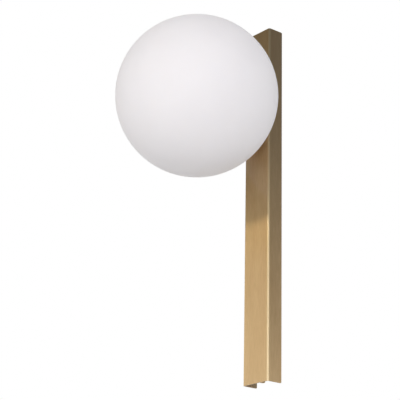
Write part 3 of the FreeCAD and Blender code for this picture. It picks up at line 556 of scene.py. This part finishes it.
def nut(name, z, across, bore, front, back):
    """A six-sided nut along Y, with the height of its axis and the width across its flats."""
    flat, corner, slope = across / 2 - 0.05, across / math.sqrt(3), 0.35
    outline = [(bore + 0.25, front), (flat, front), (corner, front + slope),
               (corner, back - slope), (flat, back), (bore + 0.25, back)]
    outline += thread(bore + 0.2, back - 0.1, front + 0.1, 0.6)
    piece = turned(name, outline, "Y", (0, 0, z), 48)
    shape = rod("six_sides", "Y", (0, 0, z), corner, front - 1, back + 1, 6)
    pick(shape, "FACE", lambda m: True)
    bpy.ops.transform.rotate(
        value=math.radians(30), orient_axis="Y", center_override=Vector((0, front, z)) * MM)
    bpy.ops.object.mode_set(mode="OBJECT")
    apply(piece, "BOOLEAN", operation="INTERSECT", object=shape, solver="EXACT")
    bpy.data.objects.remove(shape)
    return smooth(piece)


# %% Handing a finished piece to the frame
triangles = {}


def done(piece, body, material, slot, *replaced):
    """Gives a piece its finish, lets it ride on its body, and hides the plain parts that it stands for."""
    alone(piece)
    piece.data.materials.clear()
    piece.data.materials.append(material)
    new, plain = [[corner(part.co[i] for thing in group for part in thing.data.vertices)
                   for corner in (min, max) for i in range(3)]
                  for group in ([piece], [nodes[name] for name in replaced])]
    off = max(abs(a - b) for a, b in zip(new, plain)) / MM
    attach(piece, body)
    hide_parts(*replaced)
    triangles[piece.name] = sum(len(face.vertices) - 2 for face in piece.data.polygons)
    print(f"{piece.name} rides on {body}: {triangles[piece.name]} triangles, box within {off:.2f} mm")

# %% [markdown]
# ## The brass channel
#
# On the real lamp this is one strip of 1.2 mm brass sheet, pressed into a channel on a folding machine.
# The folds are tight, and each shows as a bright line because it mirrors the whole room in a few
# millimetres. It could be an outline extruded upwards, but the folds are easier to judge on a block: the
# block's open sides are deleted, its two front edges are rounded, and the skin is then given the
# thickness of the sheet.

# %% Brass channel
HALF, FRONT, TALL = 22.5, -22.0, 230.0
FOLD_RADIUS, SHEET, SEAT_RADIUS = 2.6, 1.2, 19.5
channel = block("brass_channel", (-HALF, FRONT, -TALL), (HALF, 0, TALL))
open_up(channel, lambda m: near(m.y, 0) or near(abs(m.z), TALL))
round_edges(channel, FOLD_RADIUS, 12, lambda m: near(m.y, FRONT) and near(abs(m.x), HALF))
thicken(channel, SHEET)
round_edges(channel, 1.5, 8, lambda m: near(m.y, 0) and near(abs(m.z), TALL))
cut(channel, rod("seat_hole", "Y", (0, 0, GLOBE_Z), SEAT_RADIUS, -30, -18, 96))
soften(channel, 0.12)
done(channel, "fixture", brushed_brass, "brushed_brass", "channel_housing")

# %% [markdown]
# ## The opal globe
#
# The real globe is blown into a mould, cased with a skin of clear glass, and etched. Its neck is moulded
# with a rounded ridge that winds round it like the thread of a jar, and that ridge holds it in the
# collar. A lathe shape suits it: one outline of the wall, outside and inside, is spun round the axis of
# the neck.

# %% Glass globe
GLOBE_Y, OUTSIDE, INSIDE = -120.76, 100, 97
wall_outside = arc(0, GLOBE_Y, OUTSIDE, 90 - math.degrees(math.asin(16 / OUTSIDE)), -90, 96)
wall_inside = arc(0, GLOBE_Y, INSIDE, -90, 90 - math.degrees(math.asin(13 / INSIDE)), 88)
neck = [(13, -13.2), (13.6, -12.6), (15.4, -12.6), (16, -13.2)]
globe = turned("opal_globe", wall_outside + wall_inside + neck, "Y", (0, 0, GLOBE_Z), 128)

# %% The ridge that winds round the neck
# A disc is extruded 35 times. After each step the new face is turned by 18 degrees, and it is small at both
# ends, so that the ridge runs in and out.
STEPS, STEP_TURN, RISE = 35, math.radians(18), 3 * 18 / 360
RIDGE_RADIUS, RIDGE_AWAY, RIDGE_START = 0.85, 16.2, -18.8
first = Vector((RIDGE_AWAY, RIDGE_START, GLOBE_Z)) * MM
bpy.ops.mesh.primitive_circle_add(vertices=12, radius=RIDGE_RADIUS * MM, fill_type="NGON", location=first)
ridge = fixed(bpy.context.object, "ridge")
pick(ridge, "FACE", lambda m: True)
bpy.ops.transform.resize(value=(0.3, 0.3, 0.3), center_override=first)
growth = {1: 2, 2: 5 / 3, STEPS - 1: 3 / 5, STEPS: 1 / 2}
for i in range(1, STEPS + 1):
    bpy.ops.mesh.extrude_region_move(TRANSFORM_OT_translate={"value": (0, RISE * MM, 0)})
    bpy.ops.transform.rotate(
        value=-STEP_TURN, orient_axis="Y", center_override=Vector((0, 0, GLOBE_Z)) * MM)
    if i in growth:
        heart = Vector((RIDGE_AWAY * math.cos(-STEP_TURN * i), RIDGE_START + RISE * i,
                        GLOBE_Z + RIDGE_AWAY * math.sin(-STEP_TURN * i)))
        bpy.ops.transform.resize(value=(growth[i],) * 3, center_override=heart * MM)
bpy.ops.mesh.select_all(action="SELECT")
bpy.ops.mesh.normals_make_consistent(inside=False)
bpy.ops.object.mode_set(mode="OBJECT")
join_to(globe, ridge)
alone(globe)
bpy.ops.object.shade_smooth_by_angle(angle=math.radians(40))
print("globe", [round(value / MM, 1) for value in globe.dimensions], "mm")
done(globe, "globe", opal_glass, "opal_glass", "glass_globe")

# %% [markdown]
# ## Finishes of the hidden parts
#
# Behind the channel everything is ordinary lamp hardware. Each surface still comes from how it was made,
# so these finishes follow the same pattern as the brass: what the metal or plastic is, then its fine
# texture.
#
# **Zinc-plated steel.** Bracket, collar and nuts are pressed steel, barrel-plated with zinc and
# passivated. The plating leaves fine grain and patches that drift between pale blue and grey.
#
# **Turned brass.** Studs, terminal clamps and the locking and earth screws are cut from brass rod. The
# tool leaves fine rings, which a noise steep along the rod stands for, and the cut faces are brighter
# than the brushed sheet.
#
# **Nickel-plated spring steel.** The lamp holder's contacts and the lamp's pins are bright and slightly
# warm, with drawing lines along them.


# %% Metals
def plated_or_cut(name, base, roughness, stretch, dark, light, gloss, detail=2.0):
    """A metal with one noise for its tone and its gloss."""
    material, tree, shader = finish(name, base, roughness, 1.0)
    marks = noise(tree, stretch, detail)
    link(tree, tones(tree, marks, dark, light), "Color", shader, "Base Color")
    uneven_gloss(tree, shader, marks, *gloss)
    return material, tree, shader


zinc_steel, tree, shader = plated_or_cut(
    "zinc_plated_steel", "#B9BBBD", 0.42, (160, 160, 160), "#B2B4B7", "#C0C0BE", (0.40, 0.46), 3.0)
fine_relief(tree, shader, noise(tree, (3000, 3000, 3000)), 0.1)
turned_brass = plated_or_cut(
    "turned_brass", "#C9A35F", 0.26, (300, 300, 3000), "#BF9752", "#D0AC6B", (0.22, 0.34))[0]
nickel_steel = plated_or_cut(
    "nickel_plated_steel", "#C9C4B8", 0.22, (2500, 250, 2500), "#BFB9AB", "#D2CEC4", (0.18, 0.30))[0]

# %% [markdown]
# **Moulded and fired parts.** Rubber, plastics and the holder's ceramic get their grain from the mould or
# the kiln. They differ in colour, gloss and the size of that grain, so one function makes them all.


# %% Moulded finishes
def moulded(name, dark, light, roughness, grain_mm, depth, **inputs):
    """A moulded surface: two near tones in soft patches, and a fine relief with grains of a real size."""
    material, tree, shader = finish(name, light, roughness, 0.0, **inputs)
    grains_per_metre = (1000 / grain_mm,) * 3
    patches = noise(tree, grains_per_metre, 3.0, 0.12)
    link(tree, tones(tree, patches, dark, light), "Color", shader, "Base Color")
    uneven_gloss(tree, shader, patches, roughness - 0.04, roughness + 0.04, 0.3, 0.7)
    fine_relief(tree, shader, noise(tree, grains_per_metre), depth)
    return material


# Black EPDM rubber, moulded in a bead-blasted tool: dull, with a grey bloom.
black_rubber = moulded("black_rubber", "#1C1C1D", "#262627", 0.75, 0.4, 0.35)
# Steatite ceramic, pressed and fired without a glaze: ivory white and faintly speckled.
steatite = moulded("steatite_ceramic", "#E4DFD3", "#EEEAE0", 0.55, 0.5, 0.2)
# Glossy white PBT of the lamp's base.
white_plastic = moulded("white_pbt_plastic", "#E2E2DF", "#ECECEA", 0.35, 0.3, 0.08)
# Milky polycarbonate of the diffuser tube: light passes into it.
milky_plastic = moulded(
    "milky_polycarbonate", "#EDEDEA", "#F4F4F2", 0.3, 0.5, 0.03,
    Subsurface_Weight=0.6, Subsurface_Scale=0.002)
# White solder mask over the lamp's board.
board_mask = moulded("white_solder_mask", "#DCDEDD", "#E8EAE9", 0.4, 0.2, 0.1)
# Yellow phosphor gel in each light chip.
phosphor = moulded("phosphor_gel", "#E0B73C", "#E9C552", 0.25, 0.2, 0.05)
# Clear nylon of the terminal block, which looks milky where it is thick.
clear_nylon = moulded(
    "clear_nylon", "#DDDED8", "#E6E7E2", 0.3, 0.4, 0.08, Subsurface_Weight=0.5, Subsurface_Scale=0.003)
print("finishes:", len(bpy.data.materials))

# %% [markdown]
# ## The wall bracket
#
# A strip of 1.5 mm steel with a flange bent forward at each end. The upper flange carries the peg that
# the channel hangs on, and the lower one takes the locking screw. It starts as a block of the strip's
# full depth: deleting three of its faces leaves the back and the two flanges, and the bends are bevelled
# before the strip gets its thickness, so that both sides of each bend stay round.

# %% Wall bracket
WIDE, DEEP, TOP, BOTTOM = 19, -17, 218, -222.5
bracket = block("steel_bracket", (-WIDE, DEEP, BOTTOM), (WIDE, 0, TOP))
open_up(bracket, lambda m: near(m.y, DEEP) or near(abs(m.x), WIDE))
round_edges(bracket, 2.5, 8, lambda m: near(m.y, 0) and (near(m.z, TOP) or near(m.z, BOTTOM)))
thicken(bracket, 1.5)
round_edges(bracket, 2, 6, lambda m: near(m.y, DEEP) and near(abs(m.x), WIDE))


def slot_tool(height):
    """A slot's shape: a rod drawn out to 9 mm by moving its two halves apart."""
    tool = rod("slot", "Y", (0, 0, height), 2.5, -4, 2, 32)
    pick(tool, "VERT", lambda m: m.z > height + 0.01)
    bpy.ops.transform.translate(value=(0, 0, 2 * MM))
    pick(tool, "VERT", lambda m: m.z < height - 0.01)
    bpy.ops.transform.translate(value=(0, 0, -2 * MM))
    bpy.ops.object.mode_set(mode="OBJECT")
    return tool


cut(bracket, slot_tool(150), slot_tool(-150), rod("hole", "Y", (0, 0, 0), 7, -4, 2),
    rod("hole", "Y", (0, 0, 38), 1.45, -4, 2, 24), rod("hole", "Y", (0, 0, -38), 1.95, -4, 2, 24),
    rod("hole", "Z", PEG, 2, 210, 222, 24), rod("hole", "Z", PEG, 3, -226, -218, 32))
soften(bracket, 0.1)
done(bracket, "fixture", zinc_steel, "zinc_plated_steel", "wall_bracket")


# %% [markdown]
# ## The tabs that join the channel to the bracket
#
# Each is a small brass angle, spot-welded inside the channel's front wall, with a hole in its level leg.
# The upper one drops over the peg, and the lower one is held by the locking screw. Both are the same
# angle, so one is modelled and the other is a copy that is moved, with its own mesh.

# %% Tabs
TAB_WIDE, TAB_BACK, TAB_FRONT, TAB_BEND = 8, -6.2, -20.8, 1.9
tab = block("top_tab", (-TAB_WIDE, TAB_FRONT, TOP), (TAB_WIDE, TAB_BACK, TALL))
open_up(tab, lambda m: near(m.y, TAB_BACK) or near(m.z, TALL) or near(abs(m.x), TAB_WIDE))
round_edges(tab, TAB_BEND, 8, lambda m: near(m.y, TAB_FRONT) and near(m.z, TOP))
thicken(tab, 1.5)
round_edges(tab, 2, 6, lambda m: near(m.y, TAB_BACK) and near(abs(m.x), TAB_WIDE))
lower_tab = copied(tab, "bottom_tab_piece", z=-442.5)
cut(tab, rod("hole", "Z", PEG, 2.4, 214, 222, 32))
soften(tab, 0.1)
done(tab, "fixture", brushed_brass, "brass", "top_hanger_tab")

cut(lower_tab, rod("hole", "Z", PEG, 2.35, -228, -220, 32))
soften(lower_tab, 0.1)
done(lower_tab, "fixture", brushed_brass, "brass", "bottom_tab")

# %% [markdown]
# ## Peg, insert, locking screw and washer
#
# The peg is riveted in the bracket's upper flange, and its tip is tapered so that the tab finds it. The
# insert in the lower flange is a nut with a lip. The locking screw comes up from below: its head is the
# small round piece that shows inside the channel's open end. All are lathe work, so each is one outline
# that is spun, and the screw's slot is cut afterwards.

# %% Peg and insert
peg = smooth(turned("hanging_peg", [
    (0, 215.5), (3.3, 215.5), (3.6, 215.8), (3.6, 216.5), (2, 216.5), (2, 221.3), (1.75, 221.9),
    (1.2, 222.5), (0, 222.5)], "Z", PEG, 48))
done(peg, "fixture", zinc_steel, "zinc_plated_steel", "hanger_peg")

insert = smooth(turned("screw_insert", [
    (2.33, -222.5), (2.85, -222.5), (3, -222.35), (3, -221), (4.25, -221), (4.4, -220.85), (4.4, -220.35),
    (4.25, -220.2), (3, -220.2), (3, -215.7), (2.8, -215.5), (2.33, -215.5)]
    + thread(2.25, -215.7, -222.3, 0.7), "Z", PEG, 48))
done(insert, "fixture", zinc_steel, "zinc_plated_steel", "threaded_insert")

# %% Locking screw and its washer
lock = turned("slotted_locking_screw", [
    (0, -227.5), (2.75, -227.5), (3.05, -227.4), (3.65, -226.8), (3.75, -226.5), (3.75, -225.15),
    (3.6, -225), (1.95, -225)] + thread(1.95, -224.4, -212.6, 0.7) + [(1.5, -212), (0, -212)], "Z", PEG, 64)
cut(lock, block("slot", (-5, -11, -228), (5, -10, -226.3)))
done(smooth(lock), "lock_screw", turned_brass, "brass", "locking_screw")
done(washer("screw_washer", 0, 0, 4.2, 2.15, -225, -224.5, "Z", -10.5), "lock_washer", turned_brass, "brass",
     "locking_washer")

# %% [markdown]
# ## Rubber parts
#
# The grommet lines the bracket's cable hole, so that the sheet's edge can't cut the cable. The gasket is
# a flat ring between the globe's shoulder and the collar. Moulded rubber has no sharp edge, so each
# outline turns its corners in small arcs.

# %% Grommet and gasket
grommet = smooth(turned("rubber_grommet", [(7, 0), (7, -1.5), (9.5, -1.5)] + arc(8.5, -2.5, 1, 0, -90, 6)
                        + arc(5.5, -2.5, 1, -90, -180, 6) + [(4.5, -0.3), (4.8, 0)]))
done(grommet, "fixture", black_rubber, "rubber", "cable_grommet")
gasket = smooth(turned(
    "rubber_gasket", arc(18.85, -21.45, 0.35, 0, -90, 4) + arc(16.65, -21.45, 0.35, -90, -180, 4)
    + arc(16.65, -21.15, 0.35, 180, 90, 4) + arc(18.85, -21.15, 0.35, 90, 0, 4), "Y", (0, 0, GLOBE_Z), 96))
done(gasket, "gasket", black_rubber, "rubber", "globe_gasket")

# %% [markdown]
# ## The collar that holds the globe
#
# A pressed plate with a short tube. Three short ribs inside the tube lie on one helix and catch the ridge
# of the globe's neck, which is how a jar's lid works. Two studs welded in the channel hold the plate. The
# ribs are arcs of one round section: a disc is spun by 30 degrees, and the copies are turned and raised.

# %% Collar
collar = block("steel_collar", (-19.8, -20.8, 81), (19.8, -19.3, 145))
round_edges(collar, 4, 8, lambda m: near(abs(m.x), 19.8) and near(abs(m.z - GLOBE_Z), 32))
cut(collar, *[rod("hole", "Y", (0, 0, GLOBE_Z + z), radius, -22, -18, sides)
              for z, radius, sides in ((0, 17.4, 96), (26.5, 1.7, 24), (-26.5, 1.7, 24))])
join_to(collar, turned("tube", [
    (18.2, -20.05), (19.6, -20.05), (19.6, -13.4), (19.4, -13.2), (18.4, -13.2), (18.2, -13.4)],
    "Y", (0, 0, GLOBE_Z), 96))
bpy.ops.mesh.primitive_circle_add(
    vertices=16, radius=0.85 * MM, fill_type="NGON", location=(17.6 * MM, -16.13 * MM, 0))
rib = fixed(bpy.context.object, "rib")
pick(rib, "FACE", lambda m: True)
bpy.ops.mesh.spin(steps=8, angle=math.radians(30), center=(0, 0, 0), axis=(0, 1, 0))
bpy.ops.mesh.select_all(action="SELECT")
bpy.ops.mesh.normals_make_consistent(inside=False)
bpy.ops.object.mode_set(mode="OBJECT")
for turn, rise in ((35, -1), (155, 0), (275, 1)):
    twin = copied(rib, "rib_twin")
    twin.rotation_euler.y = math.radians(turn)
    twin.location = Vector((0, rise, GLOBE_Z)) * MM
    join_to(collar, fixed(twin, "rib_twin"))
bpy.data.objects.remove(rib)
soften(collar, 0.08, 1, 60)
done(collar, "fixture", zinc_steel, "zinc_plated_steel", "threaded_collar")

# %% Studs, washers and nuts of the collar
for end, z in (("lower", 86.5), ("upper", 139.5)):
    stud = turned(f"{end}_stud", [(0, -20.8), (1.45, -20.8), (1.45, -19.9)] + thread(1.45, -19.8, -13.6, 0.5)
                  + [(1.1, -13.3), (0, -13.3)], "Y", (0, 0, z), 32)
    done(smooth(stud), "fixture", turned_brass, "brass", f"collar_stud_{end}")
    done(washer(f"{end}_washer", 0, z, 3.5, 1.7, -18.3, -17.8), "fixture", zinc_steel, "zinc_plated_steel",
         f"collar_washer_{end}")
    done(nut(f"{end}_nut", z, 5.5, 1.45, -17.8, -15.4), "fixture", zinc_steel, "zinc_plated_steel",
         f"collar_nut_{end}")

# %% [markdown]
# ## The bridge
#
# A hat-shaped strip of 1 mm steel over the collar's opening, under the same nuts. It starts as a block
# whose sides and front are deleted. The free edges are extruded outwards as feet, and thickness comes
# last.

# %% Holder bridge
HALF_WIDTH, HALF_HEIGHT, FOOT, WEB = 7, 21.2, -18.3, -10.6
bridge = block("steel_bridge", (-HALF_WIDTH, FOOT, GLOBE_Z - HALF_HEIGHT),
               (HALF_WIDTH, WEB, GLOBE_Z + HALF_HEIGHT))
open_up(bridge, lambda m: near(m.y, FOOT) or near(abs(m.x), HALF_WIDTH))
for way in (1, -1):
    pick(bridge, "EDGE", lambda m: near(m.y, FOOT) and near(m.z, GLOBE_Z + HALF_HEIGHT * way))
    bpy.ops.mesh.extrude_region_move(TRANSFORM_OT_translate={"value": (0, 0, 9.8 * way * MM)})
round_edges(bridge, 1.6, 6, lambda m: near(m.y, WEB) and near(abs(m.z - GLOBE_Z), HALF_HEIGHT))
round_edges(bridge, 0.5, 4, lambda m: near(m.y, FOOT) and near(abs(m.z - GLOBE_Z), HALF_HEIGHT))
thicken(bridge, 1)
round_edges(bridge, 2, 6, lambda m: near(abs(m.z - GLOBE_Z), 31) and near(abs(m.x), HALF_WIDTH))
cut(bridge, *[rod("hole", "Y", (x, 0, GLOBE_Z + z), radius, -22, -8, 24) for x, z, radius in (
    (0, 26.5, 1.7), (0, -26.5, 1.7), (0, 3.6, 1.5), (0, -3.6, 1.5), (4.5, 0, 1.2), (-4.5, 0, 1.2))])
soften(bridge, 0.08)
done(bridge, "fixture", zinc_steel, "zinc_plated_steel", "holder_bridge")

# %% [markdown]
# ## The lamp holder
#
# A ceramic block with two cavities. In each cavity sits a contact: a strip of spring steel folded to a U,
# whose two leaves grip one pin of the lamp. The real block is pressed in a mould, so all its outer
# corners are round, and the cavities and holes are cut after those are bevelled.

# %% Ceramic holder
PIN_X = 4.5  # from the middle of the lamp to each of its pins
holder = block("ceramic_holder", (-10, -25.6, 107), (10, -11.6, 119))
round_edges(holder, 2.5, 8, lambda m: near(abs(m.x), 10) and near(abs(m.z - GLOBE_Z), 6))
round_edges(holder, 0.8, 4, lambda m: near(m.y, -25.6))
for x in (-PIN_X, PIN_X):
    cut(holder, block("cavity", (x - 1.8, -27, 109.75), (x + 1.8, -15.1, 116.25)),
        rod("hole", "Y", (x, 0, GLOBE_Z), 1.2, -16, -10, 24))
for z in (109.4, 116.6):
    cut(holder, rod("hole", "Y", (0, 0, z), 1.25, -18.6, -10, 24))
soften(holder, 0.12, 2, 60)
done(holder, "fixture", steatite, "ceramic", "lampholder_body")

# %% Contacts
clip = block("contact_left", (-5.85, -24.1, 111), (-3.15, -15.1, 115))
open_up(clip, lambda m: near(m.y, -24.1) or near(abs(m.z - GLOBE_Z), 2))
round_edges(clip, 0.6, 5, lambda m: near(m.y, -15.1) and near(abs(m.x + PIN_X), 1.35))
thicken(clip, 0.4)
round_edges(clip, 0.8, 4, lambda m: near(m.y, -24.1) and near(abs(m.z - GLOBE_Z), 2))
soften(clip, 0.06, 1)
done(copied(clip, "contact_right", 2 * PIN_X), "fixture", nickel_steel, "contact_steel",
     "lampholder_contact_right")
done(clip, "fixture", nickel_steel, "contact_steel", "lampholder_contact_left")

# %% Holder screws
for end, z in (("lower", 109.4), ("upper", 116.6)):
    done(screw(f"{end}_holder_screw", 0, z, 1.25, 2.3, -9, -10.6, -18.6, 0.45), "fixture", zinc_steel,
         "zinc_plated_steel", f"lampholder_screw_{end}")

# %% [markdown]
# ## The lamp
#
# A pin-base capsule: two pins plug into the holder, a moulded base carries a frosted tube with a domed
# end, and inside the tube a white board holds six light chips on each face. The tube is blow-moulded, so
# it is a lathe outline with one wall. The base is a stem with a round skirt, welded together and then
# softened.

# %% Lamp base and pins
base = block("moulded_lamp_base", (-7, -34.8, 108.2), (7, -25.6, 117.8))
round_edges(base, 2, 6, lambda m: near(abs(m.x), 7) and near(abs(m.z - GLOBE_Z), 4.8))
join_to(base, turned("skirt", [(0, -38.6), (8, -38.6), (8, -35.6)] + arc(7, -35.6, 1, 0, 90, 5)[1:]
                     + [(0, -34.6)], "Y", (0, 0, GLOBE_Z), 64))
soften(base, 0.25, 2, 60)
done(base, "lamp", white_plastic, "white_plastic", "lamp_base")
for side, x in (("left", -PIN_X), ("right", PIN_X)):
    pin = turned(f"{side}_pin", [(0, -25.6), (0.75, -25.6)] + arc(0, -17.85, 0.75, 0, 90, 6),
                 "Y", (x, 0, GLOBE_Z), 32)
    done(smooth(pin), "lamp", nickel_steel, "contact_steel", f"lamp_pin_{side}")

# %% Diffuser
diffuser = turned("frosted_diffuser", [(6.8, -38.6), (8, -38.6)] + arc(0, -72.6, 8, 0, -90, 24)
                  + arc(0, -72.6, 6.8, -90, 0, 24), "Y", (0, 0, GLOBE_Z), 64)
done(smooth(diffuser), "lamp", milky_plastic, "frosted_plastic", "lamp_diffuser")

# %% Board
board = block("light_board", (-5.6, -72.6, 112.4), (5.6, -38.6, 113.6))
round_edges(board, 1.5, 6, lambda m: near(m.y, -72.6) and near(abs(m.x), 5.6))
soften(board, 0.08, 1)
done(board, "lamp", board_mask, "board", "lamp_board")

# %% [markdown]
# A light chip is a small tray filled with phosphor. Its top is inset and sunk a little, so the tray keeps
# a rim. It is modelled once on the board's upper face; the lower chips are the same piece turned over.

# %% Light chips
chip = block("light_chip", (-1.75, -1.4, 0.6), (1.75, 1.4, 1.3))
pick(chip, "FACE", lambda m: near(m.z, 1.3))
bpy.ops.mesh.inset(thickness=0.35 * MM, depth=0)
bpy.ops.mesh.inset(thickness=0.08 * MM, depth=-0.12 * MM)
bpy.ops.object.mode_set(mode="OBJECT")
soften(chip, 0.06, 2)
for face, turn in (("upper", 0), ("lower", math.pi)):
    for i in range(6):
        twin = copied(chip, f"{face}_light_{i + 1}")
        twin.rotation_euler.y = turn
        twin.location = Vector((0, -42.6 - 5.2 * i, GLOBE_Z)) * MM
        done(fixed(twin, twin.name), "lamp", phosphor, "phosphor", f"lamp_chip_{face}_{i + 1}")
bpy.data.objects.remove(chip)

# %% [markdown]
# ## Terminal block and earth
#
# The block is one nylon moulding with a chamber for each brass clamp, wells over the screws, and a hole
# right through for its fixing screw. Below it, a screw in the bracket and a stud in the channel take the
# earth wires, each with a washer. The brass screws here have a cross recess.

# %% Terminal block
POLE_X, BLOCK_Z = 4.5, 38  # from the block's middle to each clamp, and the height of its fixing screw
terminal = block("nylon_terminal_block", (-9.5, -14.5, 29), (9.5, -1.5, 47))
round_edges(terminal, 0.8, 5, lambda m: near(abs(m.x), 9.5) and near(abs(m.y + 8), 6.5))
cut(terminal, rod("hole", "Y", (0, 0, BLOCK_Z), 1.45, -16, 0, 24),
    rod("well", "Y", (0, 0, BLOCK_Z), 2.9, -16, -12.1, 32))
for x in (-POLE_X, POLE_X):
    cut(terminal, block("chamber", (x - 2.6, -9.6, 31.5), (x + 2.6, -4.4, 44.5)),
        rod("wires", "Z", (x, -7, 0), 1.6, 27, 49, 32),
        *[rod("well", "Y", (x, 0, z), 2.1, -16, -9, 32) for z in (34, 42)])
soften(terminal, 0.15, 2, 60)
done(terminal, "fixture", clear_nylon, "clear_plastic", "terminal_block")

# %% Clamps
clamp = block("clamp_left", (-7, -9.5, 31.5), (-2, -4.5, 44.5))
cut(clamp, rod("wires", "Z", (-POLE_X, -7, 0), 1.6, 30, 46, 32),
    *[rod("hole", "Y", (-POLE_X, 0, z), 1.2, -11, -7, 24) for z in (34, 42)])
soften(clamp, 0.25, 2, 60)
done(copied(clamp, "clamp_right", 2 * POLE_X), "fixture", turned_brass, "brass", "terminal_clamp_right")
done(clamp, "fixture", turned_brass, "brass", "terminal_clamp_left")

# %% Screws of the block
for side, x in (("left", -POLE_X), ("right", POLE_X)):
    for end, z in (("lower", 34), ("upper", 42)):
        done(screw(f"{side}_{end}_clamp_screw", x, z, 1.2, 1.9, -12.9, -11.4, -8.2, 0.45), "fixture",
             zinc_steel, "zinc_plated_steel", f"terminal_screw_{side}_{end}")
done(screw("block_fixing_screw", 0, BLOCK_Z, 1.45, 2.7, -13.9, -12.1, 0, 0.5), "fixture", zinc_steel,
     "zinc_plated_steel", "block_screw")

# %% Earth screw, earth stud and their washers and nut
done(screw("brass_earth_screw", 0, -38, 1.95, 3.8, -4.7, -2.3, 0, 0.7), "fixture", turned_brass, "brass",
     "earth_screw")
done(washer("earth_screw_ring", 0, -38, 4.5, 2.15, -2.3, -1.5), "fixture", zinc_steel, "zinc_plated_steel",
     "earth_screw_washer")
stud = turned("brass_earth_stud", [(0, -20.8), (1.95, -20.8), (1.95, -19.9)] + thread(1.95, -19.8, -13.1, 0.7)
              + [(1.5, -12.8), (0, -12.8)], "Y", (0, 0, -92), 32)
done(smooth(stud), "fixture", turned_brass, "brass", "earth_stud")
done(washer("earth_nut_ring", 0, -92, 4.5, 2.15, -20.8, -20), "fixture", zinc_steel, "zinc_plated_steel",
     "earth_nut_washer")
done(nut("hexagon_earth_nut", -92, 7, 1.95, -20, -16.8), "fixture", zinc_steel, "zinc_plated_steel",
     "earth_nut")

# %% [markdown]
# ## Measure and finish
#
# The new pieces' triangles are counted. Each piece's box was compared with the box of the plain parts that
# it stands for when it was handed over.

# %% Triangles
print("triangles in new pieces:", sum(triangles.values()))
